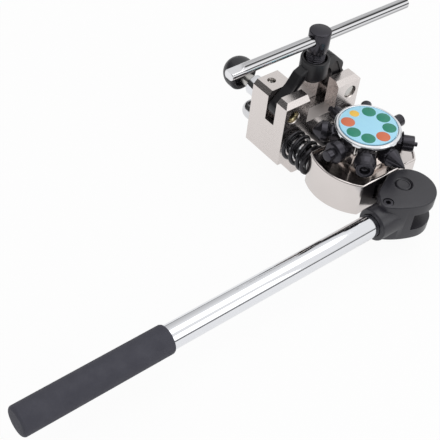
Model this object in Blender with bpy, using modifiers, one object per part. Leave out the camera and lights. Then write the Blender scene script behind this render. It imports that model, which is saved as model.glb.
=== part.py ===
"""Vise-held flaring tool for tube ends, with a revolving turret of eight punches.

A grooved clamp block stands on a tongue that a bench vise grips. A hinged yoke with
a screw presses the tube dies into the block's cradle. A round carriage slides on two
guide rods, pushed towards the block by the cam of a long hand lever, and carries the
turret of punches. Metres, +Z up. The origin is the middle of the tongue's underside,
+X points from the block to the lever, and the lever handle points to -Y.
"""

import math

import bmesh
import bpy
from mathutils import Matrix

# Fits between pieces
RUNNING_GAP = 0.0003
SEAT_GAP = 0.0003
ROUND_STEPS = 24
FINE_STEPS = 16
DIAL_STEPS = 40

# Clamp block, cradle and vise tongue
BLOCK_LENGTH = 0.0424
BLOCK_WIDTH = 0.0836
BLOCK_HEIGHT = 0.0627
BLOCK_CHAMFER = 0.0038
BLOCK_FRONT_CHAMFER = 0.0041
CRADLE_WIDTH = 0.0321
CRADLE_DEPTH = 0.0267
TONGUE_WIDTH = 0.051
TONGUE_DEPTH = 0.0185
TONGUE_ROOT_FILLET = 0.009
TONGUE_CORNER_RADIUS = 0.0055

# Yoke, its pins and the slots that it lies in
YOKE_THICKNESS = 0.010
YOKE_FROM_FRONT = 0.0177
YOKE_SLOT_FLOOR = 0.0352
YOKE_PIN_FROM_BLOCK_SIDE = 0.0098
YOKE_PIN_HEIGHT = 0.048
YOKE_PIN_RADIUS = 0.0055
YOKE_PIN_RECESS = 0.0015
YOKE_EYE_RADIUS = 0.0092
YOKE_NEAR_LEAN = 0.0094
YOKE_FAR_LEAN = 0.0083
YOKE_WEB_DEPTH = 0.0015
YOKE_WEB_RIM = 0.0022
YOKE_EDGE_ROUND = 0.0008
COLLAR_RADIUS = 0.0123
COLLAR_BOTTOM = 0.0693
COLLAR_HEIGHT = 0.0167
COLLAR_CUP_RADIUS = 0.0102
COLLAR_CUP_DEPTH = 0.0065

# Clamp screw, pressure foot and tee bar
SCREW_RADIUS = 0.0079
SCREW_HEAD_RADIUS = 0.0092
SCREW_HEAD_HEIGHT = 0.0193
SCREW_STAND_OFF = 0.007
SCREW_HEAD_CHAMFER = 0.001
SPIGOT_RADIUS = 0.003
FOOT_RADIUS = 0.0085
FOOT_THICKNESS = 0.0041
FOOT_FLOOR = 0.0008
TEE_BAR_RADIUS = 0.00475
TEE_BAR_BELOW_TOP = 0.008
TEE_BAR_NEAR_REACH = 0.094
TEE_BAR_FAR_REACH = 0.100
TEE_BAR_FLAT_LENGTH = 0.013
TEE_BAR_FLAT_THICKNESS = 0.0062

# Lock pin with its bush, knob, brass seat and drag screw
LOCK_PIN_TIP_STAND_OFF = 0.0006
LOCK_PIN_TRAVEL = 0.0165
LOCK_BUSH_RADIUS = 0.009
LOCK_BUSH_LENGTH = 0.0097
LOCK_SEAT_LENGTH = 0.003
KNOB_RADIUS = 0.0141
KNOB_LENGTH = 0.0206
KNOB_EDGE_ROUND = 0.002
KNOB_WELL_CLEARANCE = 0.0008
KNOB_WELL_DEPTH = 0.0048
DRAG_SCREW_RADIUS = 0.0034
DRAG_SCREW_LENGTH = 0.0035
DRAG_SCREW_SINK = 0.0010
DRAG_HOLE_FROM_BACK = 0.0081
DRAG_HOLE_FROM_PIN = 0.0025

# Guide rods and return springs
ROD_RADIUS = 0.009
ROD_FROM_BLOCK_SIDE = 0.0118
ROD_HEIGHT = 0.0203
ROD_TAIL = 0.0173
ROD_SPIGOT_RADIUS = 0.006
ROD_SPIGOT_LENGTH = 0.0182
ROD_TIP_RADIUS = 0.0004
SPRING_WIRE_RADIUS = 0.0019
SPRING_COIL_RADIUS = 0.01185
SPRING_LEAD_TURNS = 0.5
SPRING_LEAD_PITCH = 0.0034
SPRING_FREE_TURNS = 2
SPRING_CLOSING_PITCH = 0.0053
SPRING_TAIL_TURNS = 0.25
SPRING_TAIL_PITCH = 0.004
SPRING_POINTS_PER_TURN = 16

# Round carriage base
BASE_RADIUS = 0.044
BASE_AXIS_FROM_BLOCK = 0.0515
BASE_GAP_TO_BLOCK = 0.030
BASE_CAM_FACE_FROM_BLOCK = 0.084
BASE_UNDERSIDE = 0.0044
BASE_THICKNESS = 0.0318
BASE_CORNER_FILLET = 0.0025
BASE_RIM_WIDTH = 0.0016
BASE_RECESS_DEPTH = 0.0025

# Turret, spindle and dial
TURRET_ACROSS_FLATS = 0.042
TURRET_HEIGHT = 0.0242
TURRET_STATIONS = 8
TURRET_EDGE_CHAMFER = 0.0012
TURRET_FOOT_RADIUS = 0.0192
SPINDLE_RADIUS = 0.007
SPINDLE_SEAT_DEPTH = 0.006
SPINDLE_HEAD_RADIUS = 0.0105
SPINDLE_HEAD_THICKNESS = 0.003
SPINDLE_SOCKET_RADIUS = 0.003
DIAL_RADIUS = 0.0272
DIAL_THICKNESS = 0.0039
DIAL_LABEL_RADIUS = 0.0235
DIAL_LABEL_THICKNESS = 0.0009
DIAL_LABEL_PROUD = 0.0005
INDEX_BALL_RADIUS = 0.0024
INDEX_BALL_CIRCLE = 0.0135
INDEX_DIMPLE_RADIUS = 0.0016
INDEX_SPRING_LENGTH = 0.004
INDEX_WIRE_RADIUS = 0.0003
INDEX_SPRING_TURNS = 3

# Punches: height above the block's underside, shank and collar
PUNCH_HEIGHT = 0.050
PUNCH_SHANK_RADIUS = 0.004
PUNCH_SHANK_LENGTH = 0.007
PUNCH_COLLAR_RADIUS = 0.0081
PUNCH_COLLAR_LENGTH = 0.0075

# Draw bar that ties the lever's pivot to the block
BAR_HEIGHT = 0.0181
BAR_RADIUS = 0.007
BAR_EYE_RADIUS = 0.0095
BAR_END_LENGTH = 0.0015
NUT_ACROSS_FLATS = 0.022
NUT_THICKNESS = 0.011
NUT_WASHER_RADIUS = 0.0125
NUT_WASHER_THICKNESS = 0.002

# Lever: cam head, pivot, handle and grip
PIVOT_FROM_BLOCK = 0.0992
PIVOT_PIN_RADIUS = 0.0064
PIVOT_PIN_CHAMFER = 0.0008
LEVER_HEIGHT = 0.0362
LEVER_EAR_THICKNESS = 0.010
LEVER_SWEEP_DEG = 100.0
CAM_RISE_PER_RADIAN = 0.0053
CAM_NOSE_FLAT = 0.0085
CAM_BACK_RADIUS = 0.0215
CAM_BACK_END_DEG = -15.0
LEVER_CORNER_RADIUS = 0.0065
LEVER_HEEL_RADIUS = 0.0127
LEVER_HEEL_OFFSET_X = 0.0053
LEVER_HEEL_OFFSET_Y = 0.0155
LEVER_EDGE_ROUND = 0.0010
HANDLE_OFFSET_X = 0.0081
HANDLE_RADIUS = 0.009525
HANDLE_WALL = 0.002
HANDLE_END = 0.351
SOCKET_RADIUS = 0.0137
SOCKET_MOUTH = 0.0395
SOCKET_DEPTH = 0.0215
SOCKET_MOUTH_CHAMFER = 0.0010
HANDLE_SCREW_RADIUS = 0.0042
HANDLE_SCREW_FROM_PIVOT = 0.0254
HANDLE_SCREW_SOCKET_RADIUS = 0.0021
HANDLE_SCREW_SOCKET_DEPTH = 0.003
GRIP_RADIUS = 0.01125
GRIP_LENGTH = 0.118
GRIP_END_WALL = 0.004
GRIP_END_ROUND = 0.007
GRIP_LIP = 0.0008

# Places worked out from the sizes above
block_front = BLOCK_LENGTH / 2
block_back = -BLOCK_LENGTH / 2
block_bottom = TONGUE_DEPTH
block_top = block_bottom + BLOCK_HEIGHT
cradle_floor = block_top - CRADLE_DEPTH
yoke_x = block_front - YOKE_FROM_FRONT
yoke_pin_y = BLOCK_WIDTH / 2 - YOKE_PIN_FROM_BLOCK_SIDE
yoke_pin_z = block_bottom + YOKE_PIN_HEIGHT
slot_floor = block_bottom + YOKE_SLOT_FLOOR
slot_width = YOKE_THICKNESS + 2 * RUNNING_GAP
yoke_hole_radius = YOKE_PIN_RADIUS + 2 * RUNNING_GAP
drag_hole_y = DRAG_HOLE_FROM_PIN - yoke_pin_y
rod_y = BLOCK_WIDTH / 2 - ROD_FROM_BLOCK_SIDE
rod_z = block_bottom + ROD_HEIGHT
bar_z = block_bottom + BAR_HEIGHT
base_back = block_front + BASE_GAP_TO_BLOCK
base_front = block_front + BASE_CAM_FACE_FROM_BLOCK
base_x = block_front + BASE_AXIS_FROM_BLOCK
base_bottom = block_bottom + BASE_UNDERSIDE
base_top = base_bottom + BASE_THICKNESS
base_floor = base_top - BASE_RECESS_DEPTH
turret_bottom = base_floor + SEAT_GAP
turret_top = turret_bottom + TURRET_HEIGHT
turret_skirt = base_top + RUNNING_GAP
punch_z = block_bottom + PUNCH_HEIGHT
collar_bottom = block_bottom + COLLAR_BOTTOM
collar_top = collar_bottom + COLLAR_HEIGHT
screw_head_bottom = collar_top + SCREW_STAND_OFF
screw_top = screw_head_bottom + SCREW_HEAD_HEIGHT
tee_bar_z = screw_top - TEE_BAR_BELOW_TOP
pivot_x = block_front + PIVOT_FROM_BLOCK
lever_bottom = bar_z - LEVER_HEIGHT / 2
lever_top = bar_z + LEVER_HEIGHT / 2
ear_gap = LEVER_HEIGHT - 2 * LEVER_EAR_THICKNESS
handle_x = pivot_x + HANDLE_OFFSET_X
cam_start_radius = PIVOT_FROM_BLOCK - BASE_CAM_FACE_FROM_BLOCK - RUNNING_GAP


def clear_scene():
    """Remove whatever objects the scene holds."""
    for old in list(bpy.data.objects):
        bpy.data.objects.remove(old, do_unlink=True)


def new_collection(name):
    collection = bpy.data.collections.new(name)
    bpy.context.scene.collection.children.link(collection)
    return collection


def new_material(name, colour, roughness, metallic):
    """Principled material of one plain finish."""
    material = bpy.data.materials.new(name)
    material.use_nodes = True
    shader = material.node_tree.nodes["Principled BSDF"]
    shader.inputs["Base Color"].default_value = (*colour, 1.0)
    shader.inputs["Roughness"].default_value = roughness
    shader.inputs["Metallic"].default_value = metallic
    return material


clear_scene()
parts = new_collection("flaring_tool")
cutters = new_collection("cutters")

nickel = new_material("satin_nickel", (0.66, 0.62, 0.60), 0.28, 1.0)
chrome = new_material("bright_chrome", (0.78, 0.79, 0.82), 0.10, 1.0)
steel = new_material("ground_steel", (0.55, 0.55, 0.54), 0.32, 1.0)
brass = new_material("brass", (0.62, 0.50, 0.24), 0.25, 1.0)
black_oxide = new_material("black_oxide", (0.035, 0.034, 0.040), 0.38, 0.7)
spring_black = new_material("black_spring_steel", (0.05, 0.05, 0.055), 0.35, 0.7)
cast_black = new_material("black_cast_iron", (0.055, 0.055, 0.058), 0.55, 0.3)
rubber = new_material("rubber_grip", (0.050, 0.054, 0.066), 0.80, 0.0)
black_plastic = new_material("black_knob_plastic", (0.022, 0.022, 0.026), 0.40, 0.0)
label_blue = new_material("dial_label", (0.37, 0.66, 0.80), 0.45, 0.0)

ALONG_X = (0.0, math.pi / 2, 0.0)
ALONG_Y = (-math.pi / 2, 0.0, 0.0)
ALONG_MINUS_Y = (math.pi / 2, 0.0, 0.0)
UPRIGHT = (0.0, 0.0, 0.0)


def polar(radius, angle, centre=(0.0, 0.0)):
    """Point at a radius and an angle about a centre."""
    return (centre[0] + radius * math.cos(angle), centre[1] + radius * math.sin(angle))


def arc(centre, radius, start, end, steps):
    """Points along a circle from one angle to another, both ends included."""
    return [polar(radius, start + (end - start) * i / steps, centre) for i in range(steps + 1)]


def add_object(name, mesh, material, location, rotation, collection):
    thing = bpy.data.objects.new(name, mesh)
    thing.location = location
    thing.rotation_euler = rotation
    if material:
        mesh.materials.clear()
        mesh.materials.append(material)
    collection.objects.link(thing)
    return thing


def smooth(thing, angle_deg=35.0):
    """Shade round faces smooth and keep the edges between flats sharp."""
    thing.data.shade_smooth()
    thing.data.set_sharp_from_angle(angle=math.radians(angle_deg))


def turned(name, profile, material, location, rotation=UPRIGHT, collection=None, steps=ROUND_STEPS):
    """Solid of revolution about its own Z; (radius, height) pairs run down the outer side."""
    mesh = bpy.data.meshes.new(name)
    edges = [(i, i + 1) for i in range(len(profile) - 1)]
    if profile[0][0] > 0:
        edges.append((len(profile) - 1, 0))
    mesh.from_pydata([(radius, 0.0, height) for radius, height in profile], edges, [])
    thing = add_object(name, mesh, material, location, rotation, collection or parts)
    revolve = thing.modifiers.new("Revolve", "SCREW")
    revolve.axis = "Z"
    revolve.angle = math.tau
    revolve.steps = steps
    revolve.render_steps = steps
    revolve.use_merge_vertices = True
    revolve.merge_threshold = 0.00001
    revolve.use_smooth_shade = True
    return thing


def as_mesh(thing, merge_distance=0.000001):
    """Replace a curve or a modified object by its evaluated mesh, with its caps welded."""
    graph = bpy.context.evaluated_depsgraph_get()
    mesh = bpy.data.meshes.new_from_object(thing.evaluated_get(graph), depsgraph=graph)
    loose = bmesh.new()
    loose.from_mesh(mesh)
    bmesh.ops.remove_doubles(loose, verts=loose.verts, dist=merge_distance)
    loose.to_mesh(mesh)
    loose.free()
    name = thing.name
    place = thing.matrix_world.copy()
    collection = thing.users_collection[0]
    bpy.data.objects.remove(thing, do_unlink=True)
    solid = bpy.data.objects.new(name, mesh)
    solid.matrix_world = place
    collection.objects.link(solid)
    return solid


def extruded(name, outline, thickness, material, location, rotation=UPRIGHT, collection=None):
    """Flat outline given a thickness, half to each side of its own plane."""
    curve = bpy.data.curves.new(name, "CURVE")
    curve.dimensions = "2D"
    curve.fill_mode = "BOTH"
    curve.extrude = thickness / 2
    spline = curve.splines.new("POLY")
    spline.points.add(len(outline) - 1)
    for point, (u, v) in zip(spline.points, outline):
        point.co = (u, v, 0.0, 1.0)
    spline.use_cyclic_u = True
    thing = bpy.data.objects.new(name, curve)
    thing.location = location
    thing.rotation_euler = rotation
    (collection or parts).objects.link(thing)
    bpy.context.view_layer.update()
    solid = as_mesh(thing)
    if material:
        solid.data.materials.clear()
        solid.data.materials.append(material)
    return solid


def across_x(name, outline, thickness, material, middle, collection=None):
    """Outline of (y, z) points given a thickness along X about a middle."""
    turned_down = [(-z, y) for y, z in outline]
    return extruded(name, turned_down, thickness, material, (middle, 0.0, 0.0), ALONG_X, collection)


def wire_coil(name, points, radius, material, bevel_resolution=2):
    """Round wire along a list of points, with closed ends."""
    curve = bpy.data.curves.new(name, "CURVE")
    curve.dimensions = "3D"
    curve.bevel_depth = radius
    curve.bevel_resolution = bevel_resolution
    curve.use_fill_caps = True
    spline = curve.splines.new("POLY")
    spline.points.add(len(points) - 1)
    for point, (x, y, z) in zip(spline.points, points):
        point.co = (x, y, z, 1.0)
    thing = bpy.data.objects.new(name, curve)
    parts.objects.link(thing)
    curve.materials.append(material)
    bpy.context.view_layer.update()
    return as_mesh(thing)


def hide_cutter(cutter):
    cutter.hide_render = True
    cutter.display_type = "WIRE"
    return cutter


def box_cutter(name, low, high):
    """Box between two corners, for cutting."""
    mesh = bpy.data.meshes.new(name)
    cube = bmesh.new()
    bmesh.ops.create_cube(cube, size=1.0)
    sizes = [high[i] - low[i] for i in range(3)]
    middle = [(high[i] + low[i]) / 2 for i in range(3)]
    bmesh.ops.scale(cube, vec=sizes, verts=cube.verts)
    cube.to_mesh(mesh)
    cube.free()
    return hide_cutter(add_object(name, mesh, None, middle, UPRIGHT, cutters))


def prism(name, radius, length, sides, location, rotation, collection, tip_radius=None, turn=0.0):
    """Upright prism, cylinder or cone, its base on the given point and its length along Z."""
    mesh = bpy.data.meshes.new(name)
    body = bmesh.new()
    bmesh.ops.create_cone(
        body,
        cap_ends=True,
        segments=sides,
        radius1=radius,
        radius2=radius if tip_radius is None else tip_radius,
        depth=length,
        matrix=Matrix.Translation((0.0, 0.0, length / 2)) @ Matrix.Rotation(turn, 4, "Z"),
    )
    body.to_mesh(mesh)
    body.free()
    return add_object(name, mesh, None, location, rotation, collection)


def round_cutter(name, radius, length, location, rotation, tip_radius=None, sides=ROUND_STEPS):
    """Cylinder or cone for cutting, from a point along one axis."""
    return hide_cutter(
        prism(name, radius, length, sides, location, rotation, cutters, tip_radius)
    )


def combine(thing, other, operation):
    change = thing.modifiers.new(other.name, "BOOLEAN")
    change.operation = operation
    change.solver = "EXACT"
    change.object = other
    return thing


def cut(thing, cutter):
    return combine(thing, cutter, "DIFFERENCE")


def join(thing, other):
    hide_cutter(other)
    return combine(thing, other, "UNION")


def bevel(thing, width, segments=1, angle_deg=40.0):
    """Chamfer or round the edges sharper than an angle."""
    edge = thing.modifiers.new("Edge", "BEVEL")
    edge.width = width
    edge.segments = segments
    edge.limit_method = "ANGLE"
    edge.angle_limit = math.radians(angle_deg)
    return thing


def joint_empty(name, location):
    """Empty on a joint's axis, which carries the pieces that move together."""
    empty = bpy.data.objects.new(name, None)
    empty.location = location
    empty.empty_display_size = BASE_RADIUS / 2
    parts.objects.link(empty)
    return empty


def carry(empty, pieces):
    """Parent pieces to an empty without moving them."""
    for piece in pieces:
        piece.parent = empty
        piece.matrix_parent_inverse = Matrix.Translation(empty.location).inverted()


def belt(circles, facet_deg=20.0):
    """Outline around a chain of circles joined by their outer tangents."""

    def bend(centre, radius, start, turn):
        steps = max(1, round(math.degrees(turn) / facet_deg))
        return arc(centre, radius, start, start + turn, steps)

    def side(chain):
        points = []
        normals = []
        for (x0, y0, r0), (x1, y1, r1) in zip(chain, chain[1:]):
            run = math.hypot(x1 - x0, y1 - y0)
            along = math.atan2(y1 - y0, x1 - x0)
            normals.append(along - math.acos((r0 - r1) / run))
        for i, (x, y, radius) in enumerate(chain[1:-1]):
            turn = (normals[i + 1] - normals[i] + math.pi) % math.tau - math.pi
            if turn > 0:
                points += bend((x, y), radius, normals[i], turn)
            else:
                reach = radius / math.cos(turn / 2)
                points.append(polar(reach, normals[i] + turn / 2, (x, y)))
        return points, normals

    forward, out_normals = side(circles)
    backward, back_normals = side(circles[::-1])
    x, y, radius = circles[-1]
    turn = (back_normals[0] - out_normals[-1]) % math.tau
    far_end = bend((x, y), radius, out_normals[-1], turn)
    x, y, radius = circles[0]
    turn = (out_normals[0] - back_normals[-1]) % math.tau
    near_end = bend((x, y), radius, back_normals[-1], turn)
    return forward + far_end + backward + near_end


def block_outline():
    """Cross-section of the clamp block: tongue, root fillets, two arms and the cradle."""
    half = BLOCK_WIDTH / 2
    tongue = TONGUE_WIDTH / 2
    inner = CRADLE_WIDTH / 2
    corner = TONGUE_CORNER_RADIUS
    root = TONGUE_ROOT_FILLET
    right = arc((tongue - corner, corner), corner, -math.pi / 2, 0.0, 6)
    right += arc((tongue + root, block_bottom - root), root, math.pi, math.pi / 2, 6)
    right += [
        (half, block_bottom),
        (half, block_top - BLOCK_CHAMFER),
        (half - BLOCK_CHAMFER, block_top),
        (inner, block_top),
        (inner, cradle_floor),
    ]
    left = [(-y, z) for y, z in reversed(right)]
    return right + left


def make_clamp_block():
    """Block with its cradle, yoke slots, rod and pin bores and top front chamfer."""
    block = across_x("clamp_block", block_outline(), BLOCK_LENGTH, nickel, 0.0)
    reach = BLOCK_WIDTH
    slot = box_cutter(
        "cut_yoke_slots",
        (yoke_x - slot_width / 2, -reach, slot_floor),
        (yoke_x + slot_width / 2, reach, block_top + reach),
    )
    wedge = extruded(
        "cut_front_chamfer",
        [
            (block_front - 2 * BLOCK_FRONT_CHAMFER, block_top + BLOCK_FRONT_CHAMFER),
            (block_front + BLOCK_FRONT_CHAMFER, block_top - 2 * BLOCK_FRONT_CHAMFER),
            (block_front + BLOCK_FRONT_CHAMFER, block_top + BLOCK_FRONT_CHAMFER),
        ],
        2 * reach,
        None,
        (0.0, 0.0, 0.0),
        ALONG_MINUS_Y,
        cutters,
    )
    tools = [slot, hide_cutter(wedge)]
    through = BLOCK_LENGTH + 2 * BLOCK_CHAMFER
    start = block_back - BLOCK_CHAMFER
    for side, label in ((-1, "near"), (1, "far")):
        tools.append(
            round_cutter(
                "cut_rod_bore_" + label,
                ROD_RADIUS + RUNNING_GAP,
                through,
                (start, side * rod_y, rod_z),
                ALONG_X,
            )
        )
        tools.append(
            round_cutter(
                "cut_pin_bore_" + label,
                YOKE_PIN_RADIUS + RUNNING_GAP,
                through,
                (start, side * yoke_pin_y, yoke_pin_z),
                ALONG_X,
            )
        )
    tools.append(
        round_cutter("cut_bar_bore", BAR_RADIUS + RUNNING_GAP, through, (start, 0.0, bar_z), ALONG_X)
    )
    tools.append(
        round_cutter(
            "cut_drag_bore",
            DRAG_SCREW_RADIUS + RUNNING_GAP,
            block_top - yoke_pin_z,
            (block_back + DRAG_HOLE_FROM_BACK, drag_hole_y, yoke_pin_z),
            UPRIGHT,
        )
    )
    for tool in tools:
        cut(block, tool)
    return block


def make_draw_bar():
    """Round bar through base and block, ending in a flat eye between the lever's ears."""
    back = block_back - NUT_WASHER_THICKNESS - NUT_THICKNESS - BAR_END_LENGTH - 2 * SEAT_GAP
    neck = base_front + RUNNING_GAP
    length = neck + BAR_EYE_RADIUS / 2 - back
    bar = turned(
        "draw_bar",
        [
            (0.0, length),
            (BAR_RADIUS, length),
            (BAR_RADIUS, BAR_END_LENGTH / 2),
            (BAR_RADIUS - BAR_END_LENGTH / 2, 0.0),
            (0.0, 0.0),
        ],
        steel,
        (back, 0.0, bar_z),
        ALONG_X,
    )
    outline = [(neck, BAR_RADIUS), (neck, -BAR_RADIUS)]
    spread = math.asin(BAR_RADIUS / BAR_EYE_RADIUS)
    outline += arc((pivot_x, 0.0), BAR_EYE_RADIUS, spread - math.pi, math.pi - spread, 20)
    eye = extruded(
        "bar_eye",
        outline,
        ear_gap - 2 * RUNNING_GAP,
        None,
        (0.0, 0.0, bar_z),
        UPRIGHT,
        cutters,
    )
    join(bar, eye)
    hole = round_cutter(
        "cut_bar_eye",
        PIVOT_PIN_RADIUS + RUNNING_GAP,
        LEVER_HEIGHT,
        (pivot_x, 0.0, lever_bottom),
        UPRIGHT,
    )
    cut(bar, hole)
    return bar


def make_bar_nut():
    """Hexagon nut and plain washer on the bar's back end."""
    face = block_back - SEAT_GAP
    washer = turned(
        "draw_bar_washer",
        [
            (BAR_RADIUS + RUNNING_GAP, 0.0),
            (NUT_WASHER_RADIUS, 0.0),
            (NUT_WASHER_RADIUS, -NUT_WASHER_THICKNESS),
            (BAR_RADIUS + RUNNING_GAP, -NUT_WASHER_THICKNESS),
        ],
        steel,
        (face, 0.0, bar_z),
        ALONG_X,
    )
    nut = prism(
        "draw_bar_nut",
        NUT_ACROSS_FLATS / math.sqrt(3),
        NUT_THICKNESS,
        6,
        (face - NUT_WASHER_THICKNESS - SEAT_GAP - NUT_THICKNESS, 0.0, bar_z),
        ALONG_X,
        parts,
    )
    nut.data.materials.append(steel)
    bevel(nut, BAR_END_LENGTH / 2, 1, 80.0)
    hole = round_cutter(
        "cut_nut",
        BAR_RADIUS + RUNNING_GAP,
        3 * NUT_THICKNESS,
        (face - 2 * NUT_THICKNESS, 0.0, bar_z),
        ALONG_X,
    )
    cut(nut, hole)
    return [washer, nut]


def plain_pin(name, radius, length, chamfer, material, location, rotation):
    """Cylinder with both ends chamfered."""
    profile = [
        (0.0, length),
        (radius - chamfer, length),
        (radius, length - chamfer),
        (radius, chamfer),
        (radius - chamfer, 0.0),
        (0.0, 0.0),
    ]
    return turned(name, profile, material, location, rotation)


def make_yoke_pins():
    """Pivot pin on the far side, and the brass seat that the lock pin's tip meets."""
    chamfer = YOKE_PIN_RADIUS / 10
    pivot = plain_pin(
        "yoke_pivot_pin",
        YOKE_PIN_RADIUS,
        BLOCK_LENGTH - 2 * YOKE_PIN_RECESS,
        chamfer,
        steel,
        (block_back + YOKE_PIN_RECESS, yoke_pin_y, yoke_pin_z),
        ALONG_X,
    )
    seat = plain_pin(
        "lock_pin_seat",
        YOKE_PIN_RADIUS,
        LOCK_SEAT_LENGTH,
        chamfer,
        brass,
        (block_front - YOKE_PIN_RECESS - LOCK_SEAT_LENGTH, -yoke_pin_y, yoke_pin_z),
        ALONG_X,
    )
    return [pivot, seat]


def make_lock_bush():
    """Round bush on the back of the block that guides the lock pin."""
    bore = YOKE_PIN_RADIUS + RUNNING_GAP
    edge = BLOCK_CHAMFER / 5
    return turned(
        "lock_pin_bush",
        [
            (bore, 0.0),
            (LOCK_BUSH_RADIUS, 0.0),
            (LOCK_BUSH_RADIUS, edge - LOCK_BUSH_LENGTH),
            (LOCK_BUSH_RADIUS - edge, -LOCK_BUSH_LENGTH),
            (bore, -LOCK_BUSH_LENGTH),
        ],
        steel,
        (block_back - SEAT_GAP, -yoke_pin_y, yoke_pin_z),
        ALONG_X,
    )


def lock_tip_x():
    """Where the withdrawn lock pin's tip stands, just behind the yoke slot."""
    return yoke_x - slot_width / 2 - LOCK_PIN_TIP_STAND_OFF


def knob_face_x():
    """Front rim of the knob, whose well takes in the bush when the pin is pushed home."""
    bush_end = block_back - SEAT_GAP - LOCK_BUSH_LENGTH
    return bush_end + KNOB_WELL_DEPTH - LOCK_PIN_TRAVEL - 2 * RUNNING_GAP


def lock_pin_tail_x():
    """Rear end of the lock pin, deep in the knob."""
    return knob_face_x() - KNOB_LENGTH + KNOB_RADIUS / 2


def make_lock_pin():
    """Sliding pin with a rounded tip, its tail held in the knob."""
    tail = lock_pin_tail_x()
    length = lock_tip_x() - tail
    tip = YOKE_PIN_RADIUS / 4
    return turned(
        "lock_pin",
        [
            (0.0, length),
            (YOKE_PIN_RADIUS - tip, length),
            (YOKE_PIN_RADIUS, length - tip),
            (YOKE_PIN_RADIUS, 0.0),
            (0.0, 0.0),
        ],
        steel,
        (tail, -yoke_pin_y, yoke_pin_z),
        ALONG_X,
    )


def make_knob():
    """Ball knob with a flat front, a well that slides over the bush and a hole for the pin."""
    tail = knob_face_x() - KNOB_LENGTH
    bore = YOKE_PIN_RADIUS + SEAT_GAP
    bore_floor = lock_pin_tail_x() - SEAT_GAP - tail
    well = LOCK_BUSH_RADIUS + KNOB_WELL_CLEARANCE
    well_floor = KNOB_LENGTH - KNOB_WELL_DEPTH
    edge = min(KNOB_EDGE_ROUND, (KNOB_RADIUS - well) / 2)
    profile = [
        (0.0, bore_floor),
        (bore, bore_floor),
        (bore, well_floor),
        (well, well_floor),
        (well, KNOB_LENGTH),
    ]
    profile += arc((KNOB_RADIUS - edge, KNOB_LENGTH - edge), edge, math.pi / 2, 0.0, 3)
    profile += arc((0.0, KNOB_RADIUS), KNOB_RADIUS, 0.0, -math.pi / 2, 8)
    return turned(
        "lock_knob",
        profile,
        black_plastic,
        (tail, -yoke_pin_y, yoke_pin_z),
        ALONG_X,
    )


def helix(centre, radius, turns_and_pitches, points_per_turn, axis):
    """Points along a coil that starts at a centre and advances along X or Z."""
    points = []
    advance = 0.0
    angle = 0.0
    for turns, pitch in turns_and_pitches:
        count = int(round(turns * points_per_turn))
        for _ in range(count):
            points.append((advance, angle))
            advance += pitch / points_per_turn
            angle += math.tau / points_per_turn
    points.append((advance, angle))
    x, y, z = centre
    if axis == "X":
        return [(x + a, *polar(radius, t, (y, z))) for a, t in points]
    return [(*polar(radius, t, (x, y)), z + a) for a, t in points]


def make_lock_drag():
    """Slotted screw and brass plug that bear on the lock pin from above."""
    x = block_back + DRAG_HOLE_FROM_BACK
    plug_low = yoke_pin_z + YOKE_PIN_RADIUS + SEAT_GAP
    screw_top_z = block_top - DRAG_SCREW_SINK
    screw_low = screw_top_z - DRAG_SCREW_LENGTH
    plug = prism(
        "lock_drag_plug",
        DRAG_SCREW_RADIUS,
        screw_low - SEAT_GAP - plug_low,
        ROUND_STEPS,
        (x, drag_hole_y, plug_low),
        UPRIGHT,
        parts,
    )
    plug.data.materials.append(brass)
    smooth(plug)
    screw = prism(
        "lock_drag_screw",
        DRAG_SCREW_RADIUS,
        DRAG_SCREW_LENGTH,
        ROUND_STEPS,
        (x, drag_hole_y, screw_low),
        UPRIGHT,
        parts,
    )
    screw.data.materials.append(steel)
    slot_half = DRAG_SCREW_RADIUS / 6
    slot = box_cutter(
        "cut_drag_slot",
        (x - slot_half, drag_hole_y - BLOCK_CHAMFER, screw_top_z - DRAG_SCREW_LENGTH / 3),
        (x + slot_half, drag_hole_y + BLOCK_CHAMFER, screw_top_z + DRAG_SCREW_LENGTH),
    )
    cut(screw, slot)
    smooth(screw)
    return [plug, screw]


def make_guide_rod(label, side):
    """Ground rod with a spigot in the base, its domed tail sliding through the block."""
    tail = block_back - ROD_TAIL
    shoulder = base_back - SEAT_GAP - tail
    dome = ROD_RADIUS - ROD_TIP_RADIUS
    profile = [
        (0.0, shoulder + ROD_SPIGOT_LENGTH),
        (ROD_SPIGOT_RADIUS, shoulder + ROD_SPIGOT_LENGTH),
        (ROD_SPIGOT_RADIUS, shoulder),
        (ROD_RADIUS, shoulder),
    ]
    profile += arc((ROD_TIP_RADIUS, dome), dome, 0.0, -math.pi / 2, 6)
    profile.append((0.0, 0.0))
    return turned("guide_rod_" + label, profile, chrome, (tail, side * rod_y, rod_z), ALONG_X)


def make_return_spring(label, side):
    """Coil spring round a rod, its end turns drawn in towards the block and the base."""
    room = base_back - block_front - 2 * (SEAT_GAP + SPRING_WIRE_RADIUS)
    lead = SPRING_LEAD_TURNS * SPRING_LEAD_PITCH
    tail = SPRING_TAIL_TURNS * SPRING_TAIL_PITCH
    free_pitch = (room - lead - SPRING_CLOSING_PITCH - tail) / SPRING_FREE_TURNS
    stages = [
        (SPRING_LEAD_TURNS, SPRING_LEAD_PITCH),
        (SPRING_FREE_TURNS, free_pitch),
        (1, SPRING_CLOSING_PITCH),
        (SPRING_TAIL_TURNS, SPRING_TAIL_PITCH),
    ]
    start = (block_front + SEAT_GAP + SPRING_WIRE_RADIUS, side * rod_y, rod_z)
    coil = helix(start, SPRING_COIL_RADIUS, stages, SPRING_POINTS_PER_TURN, "X")
    return wire_coil("return_spring_" + label, coil, SPRING_WIRE_RADIUS, spring_black)


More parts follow.
